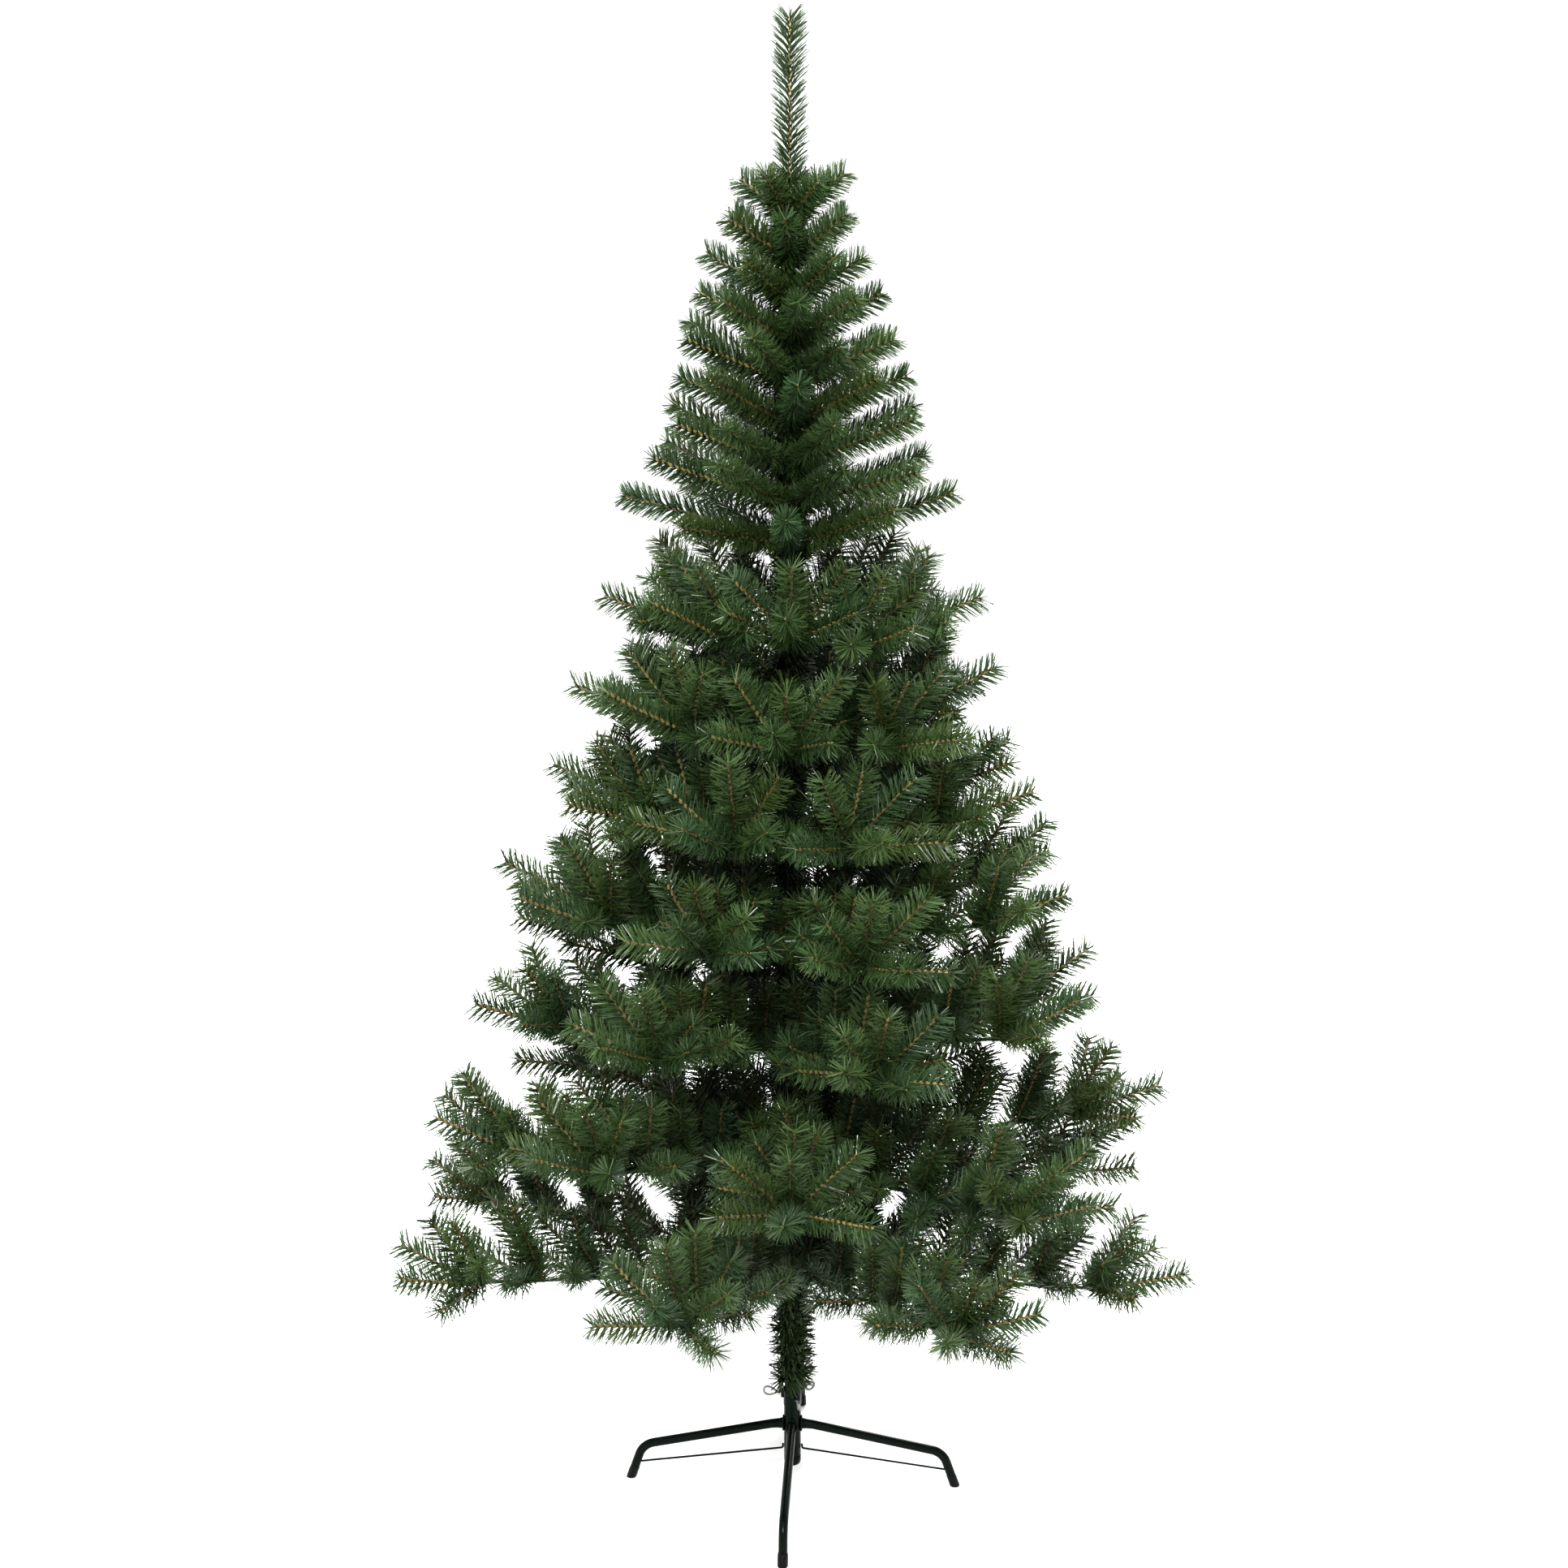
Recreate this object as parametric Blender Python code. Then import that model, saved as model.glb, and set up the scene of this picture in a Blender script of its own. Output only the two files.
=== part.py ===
"""An artificial spruce tree, 1.8 m tall, on a four-legged metal stand.

A steel pole stands in the socket of the stand. Every tier carries eight boughs. In the upper section
a bough is one spray of needles. Below it a bough is a wire limb with forks, and each fork fans out
into sprays. The two lowest tiers show their bare limbs, so there the limbs are pieces of their own.
Metres, +Z up, the floor is Z = 0 and the pole stands on the Z axis.
"""

import math
import random

import bmesh
import bpy
from mathutils import Matrix, Vector
from mathutils.bvhtree import BVHTree

# Driving sizes
HEIGHT = 1.800
GAP = 0.0003  # clear space left between two pieces that touch on the real tree
BOUGHS = 8  # in every tier
TURN_STEP = 360 / BOUGHS

# Pole
POLE_RADIUS = 0.0095
POLE_FOOT_Z = 0.0408
POLE_JOINT_Z = 1.150  # the slimmer upper tube starts here
UPPER_POLE_RADIUS = 0.0075
LEADER_Z = 1.612  # end of the pole, foot of the leader

# Upper section: tiers counted from the top
UPPER_TIERS = 9
SPARSE_TIERS = 3  # the uppermost of them carry fewer boughs
SPARSE_BOUGHS = 6
UPPER_TOP_Z = 1.568
UPPER_BOTTOM_Z = 1.197
UPPER_REACH = (0.062, 0.188)  # at its top and at its bottom
UPPER_RISE = (38.0, 17.0)
UPPER_RISE_CURVE = 1.5  # above 1, most of the change in rise comes near the top
FRONT_TIERS = (2, 4, 6, 9)  # these have a bough to the front, the others straddle it
UPPER_GROUPS = ((1, 3), (4, 6), (7, 9))
LEADER_HALF_WIDTH = 0.020
LEADER_TEETH = 6
LEADER_CORE_RADIUS = (0.0045, 0.0015)
LEADER_CORE_SHARE = 0.9  # of the leader's height
LEADER_STAGGER = 0.0035

# Lower section: height at the pole, turn of the first bough, rise, reach, how many forks bear sprays
LOWER_TIERS = {
    1: (1.082, -90.0, 10.0, 0.228, 1),
    2: (0.964, -90.0, 10.0, 0.276, 2),
    3: (0.844, -20.0, 10.0, 0.314, 2),
    4: (0.718, -22.5, 11.0, 0.366, 2),
    5: (0.584, -28.5, 11.0, 0.408, 3),
    6: (0.440, -88.0, 11.0, 0.462, 3),
    7: (0.289, -18.5, 8.0, 0.504, 4),
}
LIMB_TIERS = (6, 7)  # tiers whose limbs are pieces of their own
# Boughs bent by hand: (tier, bough): (turn, rise, reach) added
BENT = {
    (1, 2): (0.0, 0.0, 0.020),
    (1, 5): (0.0, 0.0, 0.012),
    (2, 2): (0.0, 0.0, -0.020),
    (3, 0): (0.0, 0.0, -0.016),
    (4, 1): (0.0, 0.0, -0.010),
    (4, 4): (0.0, -6.0, 0.014),
    (5, 1): (0.0, 0.0, -0.004),
    (5, 4): (0.0, 3.0, 0.008),
    (6, 0): (0.0, 5.0, 0.0),
    (6, 1): (0.0, -7.0, 0.020),
    (6, 6): (14.0, -2.0, 0.012),
    (6, 7): (8.0, 0.0, 0.0),
    (7, 0): (0.0, 1.0, 0.0),
    (7, 4): (0.0, 0.0, 0.016),
    (7, 5): (0.0, -3.0, 0.026),
    (7, 6): (0.0, 11.0, -0.004),
    (7, 7): (0.0, 6.0, 0.0),
}
SPRAY_LENGTH = 0.115
FORK_SPACING = 0.066
INNERMOST_FORK = 0.080
FAN_STAGGER = 0.007  # between the roots of one fork's sprays
LIMB_RADIUS = (0.0028, 0.0019)
LIMB_END = 0.165  # distance from the pole at which a limb enters its mass
STEM_PAST_FORK = 0.003
FIRST_SPRAY = 0.030  # least distance from the foot of a mass's stem to its first sprays
INNER_SPRAY_SHARE = 0.92  # length of the inner sprays, against those at the bough's end
LIFT_SHARE = 0.6  # how much of its bough's rise a spray keeps

# Seeded scatter: either way in degrees, or as lowest and highest share
TURN_SCATTER = 4.0
RISE_SCATTER = 4.5
UPPER_TURN_SCATTER = 6.0
UPPER_RISE_SCATTER = 3.0
SPRAY_TURN_SCATTER = 11.0
SPRAY_RISE_SCATTER = 10.0
UPPER_LENGTH_SCATTER = (0.94, 1.03)
BOUGH_SPRAY_SCATTER = (0.95, 1.08)
SPRAY_LENGTH_SCATTER = (0.88, 1.06)
REACH_SCATTER = (0.97, 1.02)
FORK_SCATTER = (0.92, 1.10)

# A spray of needles: a toothed blade
SPRAY_HALF_WIDTH = 0.022
SPRAY_THICKNESS = 0.0034
NECK_HALF_WIDTH = 0.0009
SPRAY_TILT = 45.0
SPRAY_TEETH = 2  # to a side
NECK_SHARE = 0.16  # of the blade's length, before its teeth
TOOTH_SHORT = 0.10  # share of the length by which the last tooth stays short of the tip
NOTCH_STEP = 0.12  # share of a tooth by which a notch lies past the tooth's point
NOTCH_SHARE = 0.38  # of the half width
LAST_TOOTH_SHARE = 0.75  # of the half width
RIDGE_SHARE = 0.20  # where a short blade's ridge is highest
NARROW_SHARE = 0.45  # half width of the shortest spray, against a long one's
FULL_WIDTH_LENGTH = 0.11  # from this length on a spray has its full width
CLEARANCE = 0.0012  # a spray is left out where it would come nearer than this to another node

# Sleeves of needles round the pole
SLEEVE_WALL = 0.0026
SLEEVE_SIDES = 8
RING_HEIGHT = 0.022
GARLAND_ROWS = 8
GARLAND_LEAVES = 4  # to a row
GARLAND_TURN = 33.0  # from each row to the next
GARLAND_RISE = 20.0
GARLAND_MARGIN = 0.010
LEAF_LENGTH = 0.013
LEAF_RADIUS = (0.0015, 0.0003)

# Stand
SOCKET_RADIUS = 0.0105
SOCKET_COLLAR_RADIUS = 0.0112
SOCKET_BOTTOM_Z = 0.025
SOCKET_SEAM_Z = 0.037
COLLAR_Z = 0.108
SOCKET_TOP_Z = 0.130
SOCKET_ROUND = 0.005  # height of the rounding at its foot
SOCKET_FOOT_RADIUS = 0.0070
SEAM_DEPTH = 0.0004
STAND_TURN = -3.5
FOOT_REACH = 0.205
LEG_RADIUS = 0.0055
LEG_Z = 0.082
LEG_SLOPE = 11.5
LEG_SPLAY = 19.0
LEG_BEND_RADIUS = 0.025
LEG_BEND_STEPS = 4
WELD_FLARE = 0.005  # length of the stretch that widens to the weld
WELD_SWELL = (1.12, 1.02)  # share of the leg's radius at the weld and at the end of the flare
PINCH = 0.96  # share of the leg's radius where the cap is pushed on
CAP_RADIUS = 0.0064
CAP_HEIGHT = 0.016
CAP_SIDES = 10
CAP_CHAMFER = 0.0012
BRACE_RADIUS = 0.00125
BRACE_Z = 0.046
BRACE_HOOK = 0.006
BRACE_END = (0.1885, 0.0225)
BOLT_Z = 0.121
BOLT_TURNS = (-78.0, 42.0, 162.0)
BOLT_WIRE = 0.0014
BOLT_SHANK = 0.009
EYE_LENGTH = 0.017
EYE_HALF_HEIGHT = 0.0052
EYE_FULLNESS = 1.3
EYE_STEPS = 14
EYE_SHIFT = 0.0024  # how far the wire's end lies beside its shank


def clear_scene():
    for old in list(bpy.data.objects):
        bpy.data.objects.remove(old)


def finish(name, colour, roughness, metallic=0.0):
    made = bpy.data.materials.new(name)
    made.use_nodes = True
    shader = made.node_tree.nodes["Principled BSDF"]
    shader.inputs["Base Color"].default_value = (*colour, 1.0)
    shader.inputs["Roughness"].default_value = roughness
    shader.inputs["Metallic"].default_value = metallic
    return made


def heading(azimuth, rise=0.0):
    """Unit vector at these angles, in degrees, from +X and from the floor."""
    turn = math.radians(azimuth)
    lift = math.radians(rise)
    return Vector((math.cos(turn) * math.cos(lift), math.sin(turn) * math.cos(lift), math.sin(lift)))


def upright(azimuth, points):
    """Points given as distance from the pole and height, turned to an azimuth."""
    out = heading(azimuth)
    return [out * distance + Vector((0, 0, z)) for distance, z in points]


def add_object(name, mesh, material):
    made = bpy.data.objects.new(name, mesh)
    bpy.context.scene.collection.objects.link(made)
    mesh.materials.append(material)
    return made


def shade_round(mesh, angle=35):
    mesh.shade_smooth()
    mesh.set_sharp_from_angle(angle=math.radians(angle))


def wire(name, points, radius, material, swell=None, sides=2):
    """A rod along the points. swell holds each point's share of the radius."""
    path = bpy.data.curves.new(name, "CURVE")
    path.dimensions = "3D"
    path.bevel_depth = radius
    path.bevel_resolution = sides
    path.use_fill_caps = True
    line = path.splines.new("POLY")
    line.points.add(len(points) - 1)
    for index, point in enumerate(points):
        line.points[index].co = (*point, 1.0)
        line.points[index].radius = swell[index] if swell else 1.0
    made = bpy.data.objects.new(name, path)
    bpy.context.scene.collection.objects.link(made)
    path.materials.append(material)
    return made


def turned(name, profile, sides, material, smooth=True):
    """A solid of revolution about Z. Its profile is radius and height, from foot to top."""
    shape = bmesh.new()
    corners = [shape.verts.new((radius, 0.0, z)) for radius, z in profile]
    edges = [shape.edges.new(pair) for pair in zip(corners, corners[1:])]
    if profile[0][0] > 0:
        edges.append(shape.edges.new((corners[-1], corners[0])))
    bmesh.ops.spin(
        shape,
        geom=corners + edges,
        cent=(0, 0, 0),
        axis=(0, 0, 1),
        angle=math.tau,
        steps=sides,
        use_merge=True,
        use_duplicate=False,
    )
    bmesh.ops.remove_doubles(shape, verts=shape.verts, dist=1e-6)
    bmesh.ops.recalc_face_normals(shape, faces=shape.faces)
    mesh = bpy.data.meshes.new(name)
    shape.to_mesh(mesh)
    shape.free()
    made = add_object(name, mesh, material)
    if smooth:
        shade_round(mesh)
    return made


# The branching rule


def upper_sprays(tier):
    """One spray per bough of an upper tier: root, direction, length."""
    down = (tier - 1) / (UPPER_TIERS - 1)
    height = UPPER_TOP_Z - (UPPER_TOP_Z - UPPER_BOTTOM_Z) * down
    reach = UPPER_REACH[0] + (UPPER_REACH[1] - UPPER_REACH[0]) * down
    rise = UPPER_RISE[1] + (UPPER_RISE[0] - UPPER_RISE[1]) * (1 - down) ** UPPER_RISE_CURVE
    boughs = SPARSE_BOUGHS if tier <= SPARSE_TIERS else BOUGHS
    first = -90 if tier in FRONT_TIERS else -90 + 180 / boughs
    chance = random.Random(100 + tier)
    sprays = []
    for bough in range(boughs):
        turn = first + 360 / boughs * bough + chance.uniform(-UPPER_TURN_SCATTER, UPPER_TURN_SCATTER)
        lift = rise + chance.uniform(-UPPER_RISE_SCATTER, UPPER_RISE_SCATTER)
        span = reach / math.cos(math.radians(lift)) * chance.uniform(*UPPER_LENGTH_SCATTER)
        sprays.append((Vector((0, 0, height)), heading(turn, lift), span))
    return sprays


FANS = {
    # turn from the bough and rise of each spray, by fork counted from the bough's end
    0: ((0, 18), (-48, 12), (46, 6), (4, 54)),
    1: ((-58, 16), (10, 62)),
    2: ((56, 20),),
    3: ((-40, 52),),
}


def bough_plan(tier, bough):
    """Start, direction, distances of the forks, and the sprays (fork, root, direction, length)."""
    height, first, rise, reach, bearing = LOWER_TIERS[tier]
    turn_more, rise_more, reach_more = BENT.get((tier, bough), (0.0, 0.0, 0.0))
    chance = random.Random(1000 + 10 * tier + bough)
    turn = first + TURN_STEP * bough + turn_more + chance.uniform(-TURN_SCATTER, TURN_SCATTER)
    lift = rise + rise_more + chance.uniform(-RISE_SCATTER, RISE_SCATTER)
    spray = SPRAY_LENGTH * chance.uniform(*BOUGH_SPRAY_SCATTER)
    end = reach * chance.uniform(*REACH_SCATTER) + reach_more - spray
    start = Vector((0, 0, height))
    along = heading(turn, lift)
    forks = []
    while end > INNERMOST_FORK and len(forks) < bearing:
        forks.append(end / math.cos(math.radians(lift)))
        end -= FORK_SPACING * chance.uniform(*FORK_SCATTER)
    sprays = []
    for fork, distance in enumerate(forks):
        for number, (side, up) in enumerate(FANS[fork]):
            aim = heading(
                turn + side + chance.uniform(-SPRAY_TURN_SCATTER, SPRAY_TURN_SCATTER),
                lift * LIFT_SHARE + up + chance.uniform(-SPRAY_RISE_SCATTER, SPRAY_RISE_SCATTER),
            )
            share = 1.0 if fork == 0 else INNER_SPRAY_SHARE
            span = spray * share * chance.uniform(*SPRAY_LENGTH_SCATTER)
            root = start + along * (distance - FAN_STAGGER * number)
            sprays.append((fork, root, aim, span))
    return start, along, forks, sprays


# Solids of the crown


def blade_outline(span, half, teeth, grow):
    """One edge of a toothed blade, as distances along it and out from its middle."""
    edge = [(0.0, NECK_HALF_WIDTH + grow), (NECK_SHARE * span, 2 * NECK_HALF_WIDTH + grow)]
    pitch = (1 - NECK_SHARE) / teeth
    for tooth in range(teeth):
        front = span * (NECK_SHARE - TOOTH_SHORT + pitch * (tooth + 1))
        last = tooth == teeth - 1
        edge.append((front, half * (LAST_TOOTH_SHARE if last else 1.0)))
        if not last:
            edge.append((front + NOTCH_STEP * pitch * span, NOTCH_SHARE * half))
    return edge


def spray_mesh(root, aim, span, tilt, teeth=SPRAY_TEETH, grow=0.0, wide=SPRAY_HALF_WIDTH):
    """(points, faces) of a toothed blade, flat below and ridged above, its teeth leaning to its tip."""
    across = aim.cross(Vector((0, 0, 1)))
    if aim.x == 0 and aim.y == 0:
        across = Vector((1, 0, 0))
    across.normalize()
    over = across.cross(aim).normalized()
    lean = math.radians(tilt)
    side = across * math.cos(lean) + over * math.sin(lean)
    face = side.cross(aim).normalized()
    half = wide * min(1.0, NARROW_SHARE + (1 - NARROW_SHARE) * span / FULL_WIDTH_LENGTH) + grow
    edge = blade_outline(span, half, teeth, grow)
    notches = edge[3:-1:2]
    ridge = [RIDGE_SHARE * span] if teeth == SPRAY_TEETH else [x for x, y in notches]
    points = []

    def place(along, out, up):
        points.append(root + aim * along + side * out + face * up)
        return len(points) - 1

    left = [place(x, y, 0) for x, y in edge]
    right = [place(x, -y, 0) for x, y in edge]
    end = place(span + grow, 0, 0)
    faces = []
    tops = [place(x, 0, SPRAY_THICKNESS + grow) for x in ridge]
    for line, turn in ((left, 1), (right, -1)):
        top = tops[0]
        run = []
        for number, (near, far) in enumerate(zip(line, line[1:] + [end])):
            run.append((top, near, far))
            if number >= 2 and number % 2 == 0 and number // 2 < len(tops):
                following = tops[number // 2]
                run.append((top, far, following))
                top = following
        faces += [corners[::turn] for corners in run]
    faces.append((tops[0], right[0], left[0]))
    faces.append(tuple(right + [end] + left[::-1]))
    return points, faces


def blade_object(points, faces):
    mesh = bpy.data.meshes.new("spray")
    mesh.from_pydata(points, [], faces)
    shape = bmesh.new()
    shape.from_mesh(mesh)
    bmesh.ops.recalc_face_normals(shape, faces=shape.faces)
    shape.to_mesh(mesh)
    shape.free()
    return bpy.data.objects.new("spray", mesh)


def stem_object(name, start, end, radii, sides):
    """A straight tapering stem with flat ends, from start to end."""
    along = end - start
    shape = bmesh.new()
    bmesh.ops.create_cone(
        shape,
        cap_ends=True,
        cap_tris=False,
        segments=sides,
        radius1=radii[0],
        radius2=radii[1],
        depth=along.length,
    )
    turn = Vector((0, 0, 1)).rotation_difference(along).to_matrix().to_4x4()
    bmesh.ops.transform(shape, matrix=Matrix.Translation((start + end) / 2) @ turn, verts=shape.verts)
    mesh = bpy.data.meshes.new(name)
    shape.to_mesh(mesh)
    shape.free()
    return bpy.data.objects.new(name, mesh)


def join_mass(name, core, pieces, material):
    """One body from a core and the pieces that stand in it, by a Boolean union on a collection."""
    group = bpy.data.collections.new(name + "_pieces")
    bpy.context.scene.collection.children.link(group)
    for piece in pieces:
        group.objects.link(piece)
    bpy.context.scene.collection.objects.link(core)
    union = core.modifiers.new("union", "BOOLEAN")
    union.operation = "UNION"
    union.operand_type = "COLLECTION"
    union.collection = group
    union.solver = "EXACT"
    bpy.context.view_layer.update()
    graph = bpy.context.evaluated_depsgraph_get()
    mesh = bpy.data.meshes.new_from_object(core.evaluated_get(graph))
    for piece in pieces:
        bpy.data.objects.remove(piece)
    bpy.data.collections.remove(group)
    bpy.data.objects.remove(core)
    mesh.materials.clear()
    return add_object(name, mesh, material)


def points_and_faces(mesh):
    return [v.co.copy() for v in mesh.vertices], [tuple(p.vertices) for p in mesh.polygons]


class Space:
    """Remembers what each node holds, so that a spray is left out where it would touch another."""

    def __init__(self):
        self.held = []

    def keep(self, owner, points, faces):
        low = [min(p[axis] for p in points) for axis in range(3)]
        high = [max(p[axis] for p in points) for axis in range(3)]
        self.held.append((owner, low, high, BVHTree.FromPolygons(points, faces)))

    def keep_object(self, made):
        graph = bpy.context.evaluated_depsgraph_get()
        mesh = bpy.data.meshes.new_from_object(made.evaluated_get(graph))
        self.keep(made.name, *points_and_faces(mesh))
        bpy.data.meshes.remove(mesh)

    def free_for(self, owner, points, faces, but=()):
        low = [min(p[axis] for p in points) for axis in range(3)]
        high = [max(p[axis] for p in points) for axis in range(3)]
        tree = BVHTree.FromPolygons(points, faces)
        for other, other_low, other_high, other_tree in self.held:
            if other == owner or other in but:
                continue
            if any(low[axis] > other_high[axis] or high[axis] < other_low[axis] for axis in range(3)):
                continue
            if tree.overlap(other_tree):
                return False
        return True


def place_sprays(owner, space, wanted, but=()):
    """Blades for the wanted (row, root, aim, span) that touch no other node. A row shares one tilt."""
    blades = []
    for row, root, aim, span in wanted:
        tilt = SPRAY_TILT if row % 2 else -SPRAY_TILT
        if not space.free_for(owner, *spray_mesh(root, aim, span, tilt, grow=CLEARANCE), but):
            continue
        points, faces = spray_mesh(root, aim, span, tilt)
        space.keep(owner, points, faces)
        blades.append(blade_object(points, faces))
    return blades


def sleeve_object(bottom, top, bore):
    """A short tube round the pole. Its facets lie outside the bore."""
    inner = bore / math.cos(math.pi / SLEEVE_SIDES)
    outer = inner + SLEEVE_WALL
    profile = [(inner, bottom), (outer, bottom), (outer, top), (inner, top)]
    made = turned("sleeve", profile, SLEEVE_SIDES, bpy.data.materials["needles"], smooth=False)
    bpy.context.scene.collection.objects.unlink(made)
    return made


def skin_distance(aim, pole_radius):
    """How far along a spray starts, for its sunk root to end in the sleeve and clear of the pole."""
    return (pole_radius + 2 * GAP) / math.hypot(aim.x, aim.y)


def make_pole(painted):
    step = POLE_RADIUS - UPPER_POLE_RADIUS
    profile = [
        (0.0, POLE_FOOT_Z),
        (POLE_RADIUS, POLE_FOOT_Z),
        (POLE_RADIUS, POLE_JOINT_Z),
        (UPPER_POLE_RADIUS, POLE_JOINT_Z + step),
        (UPPER_POLE_RADIUS, LEADER_Z - GAP),
        (0.0, LEADER_Z - GAP),
    ]
    return turned("pole", profile, 16, painted)


def make_leader(space, needles):
    """The upright spray on top: a slim core with pairs of blades standing in it at quarter turns."""
    top = Vector((0, 0, HEIGHT))
    foot = Vector((0, 0, LEADER_Z))
    core = stem_object("core", foot, foot + (top - foot) * LEADER_CORE_SHARE, LEADER_CORE_RADIUS, 6)
    blades = []
    for quarter in range(2):
        # The second blade starts and ends inside the first one's reach, so no two corners meet
        root = foot + Vector((0, 0, LEADER_STAGGER * (quarter + 1)))
        span = HEIGHT - root.z - LEADER_STAGGER * quarter
        points, faces = spray_mesh(
            root, Vector((0, 0, 1)), span, 90 * quarter, LEADER_TEETH, wide=LEADER_HALF_WIDTH
        )
        blades.append(blade_object(points, faces))
    made = join_mass("leader", core, blades, needles)
    space.keep_object(made)
    return made


def make_upper_mass(number, space, needles):
    """Three tiers of single sprays, standing in a sleeve of needles round the pole."""
    first, last = UPPER_GROUPS[number - 1]
    name = f"upper_mass_{number}"
    step = (UPPER_TOP_Z - UPPER_BOTTOM_Z) / (UPPER_TIERS - 1)
    top = UPPER_TOP_Z - step * (first - 1) + step / 2 - GAP
    bottom = UPPER_TOP_Z - step * (last - 1) - step / 2 + GAP
    core = sleeve_object(bottom, top, UPPER_POLE_RADIUS + GAP)
    wanted = []
    for tier in range(first, last + 1):
        for root, aim, span in upper_sprays(tier):
            skin = skin_distance(aim, UPPER_POLE_RADIUS)
            wanted.append((tier, root + aim * skin, aim, span - skin))
    return join_mass(name, core, place_sprays(name, space, wanted, ("pole",)), needles)


def make_whorl_mass(tier, space, needles):
    """A whole tier: eight wire stems out of a ring round the pole, with their sprays."""
    name = f"whorl_mass_{tier}"
    height = LOWER_TIERS[tier][0]
    core = sleeve_object(height - RING_HEIGHT / 2, height + RING_HEIGHT / 2, POLE_RADIUS + GAP)
    pieces = []
    wanted = []
    for bough in range(BOUGHS):
        start, along, forks, sprays = bough_plan(tier, bough)
        inside = POLE_RADIUS + GAP + SLEEVE_WALL / 2
        end = start + along * (forks[0] + STEM_PAST_FORK)
        pieces.append(stem_object("stem", start + along * inside, end, LIMB_RADIUS, 3))
        wanted += sprays
    for piece in pieces:
        space.keep(name, *points_and_faces(piece.data))
    return join_mass(name, core, pieces + place_sprays(name, space, wanted), needles)


def make_limb(tier, bough, space, wrapped):
    """The bare inner half of a bough: one tapering wire limb, clear of the pole."""
    start, along, forks, sprays = bough_plan(tier, bough)
    flat = math.hypot(along.x, along.y)
    begin = (POLE_RADIUS + GAP) / flat + LIMB_RADIUS[0] * along.z
    end = LIMB_END / flat
    name = f"bough_{tier}_{bough + 1}"
    share = end / forks[0]
    tip = LIMB_RADIUS[0] + (LIMB_RADIUS[1] - LIMB_RADIUS[0]) * share
    made = stem_object(name, start + along * begin, start + along * end, (LIMB_RADIUS[0], tip), 8)
    bpy.context.scene.collection.objects.link(made)
    made.data.materials.append(wrapped)
    shade_round(made.data, 50)
    space.keep_object(made)
    return made


def make_mass(tier, bough, space, needles):
    """The needled outer half of a bough: its stem, and the sprays that fan out of its forks."""
    start, along, forks, sprays = bough_plan(tier, bough)
    flat = math.hypot(along.x, along.y)
    begin = LIMB_END / flat + GAP
    name = f"mass_{tier}_{bough + 1}"
    share = begin / forks[0]
    thick = LIMB_RADIUS[0] + (LIMB_RADIUS[1] - LIMB_RADIUS[0]) * share
    end = start + along * (forks[0] + STEM_PAST_FORK)
    core = stem_object("stem", start + along * begin, end, (thick, LIMB_RADIUS[1]), 3)
    outer = [spray for spray in sprays if forks[spray[0]] > begin + FIRST_SPRAY]
    return join_mass(name, core, place_sprays(name, space, outer), needles)


def make_garland(needles):
    """Needles wound round the foot of the pole: a sleeve with single needles standing out of it."""
    bottom = SOCKET_TOP_Z + 0.002
    top = LOWER_TIERS[7][0] - 0.012
    core = sleeve_object(bottom, top, POLE_RADIUS + GAP)
    rise = (top - bottom - 2 * GARLAND_MARGIN) / (GARLAND_ROWS - 1)
    spikes = []
    for row in range(GARLAND_ROWS):
        z = bottom + GARLAND_MARGIN + rise * row
        for leaf in range(GARLAND_LEAVES):
            turn = 360 / GARLAND_LEAVES * leaf + GARLAND_TURN * row
            aim = heading(turn, GARLAND_RISE if row % 2 else -GARLAND_RISE)
            root = Vector((0, 0, z)) + aim * (POLE_RADIUS + 4 * GAP) / math.hypot(aim.x, aim.y)
            spikes.append(stem_object("needle", root, root + aim * LEAF_LENGTH, LEAF_RADIUS, 3))
    return join_mass("garland", core, spikes, needles)


# Stand


def make_socket(painted):
    """Tube with a closed rounded foot and a wider collar, open at the top for the pole."""
    bore = POLE_RADIUS + GAP
    tube = SOCKET_RADIUS - SEAM_DEPTH / 4
    profile = [
        (0.0, SOCKET_BOTTOM_Z),
        (SOCKET_FOOT_RADIUS, SOCKET_BOTTOM_Z),
        (SOCKET_RADIUS - SOCKET_ROUND / 6, SOCKET_BOTTOM_Z + SOCKET_ROUND / 3),
        (SOCKET_RADIUS, SOCKET_BOTTOM_Z + SOCKET_ROUND),
        (SOCKET_RADIUS, SOCKET_SEAM_Z),
        (SOCKET_RADIUS - SEAM_DEPTH, SOCKET_SEAM_Z + 1.5 * SEAM_DEPTH),
        (tube, SOCKET_SEAM_Z + 3 * SEAM_DEPTH),
        (tube, COLLAR_Z - SOCKET_ROUND / 5),
        (SOCKET_COLLAR_RADIUS, COLLAR_Z),
        (SOCKET_COLLAR_RADIUS, SOCKET_TOP_Z),
        (bore, SOCKET_TOP_Z),
        (bore, POLE_FOOT_Z - GAP),
        (0.0, POLE_FOOT_Z - GAP),
    ]
    return turned("socket_tube", profile, 16, painted)


def leg_corner():
    """Where the sloping and the splayed stretch of a leg would meet, as distance and height."""
    fall = math.tan(math.radians(LEG_SLOPE))
    splay = math.tan(math.radians(LEG_SPLAY))
    z = (LEG_Z - (FOOT_REACH - SOCKET_RADIUS) * fall) / (1 - splay * fall)
    return FOOT_REACH - z * splay, z


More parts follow.
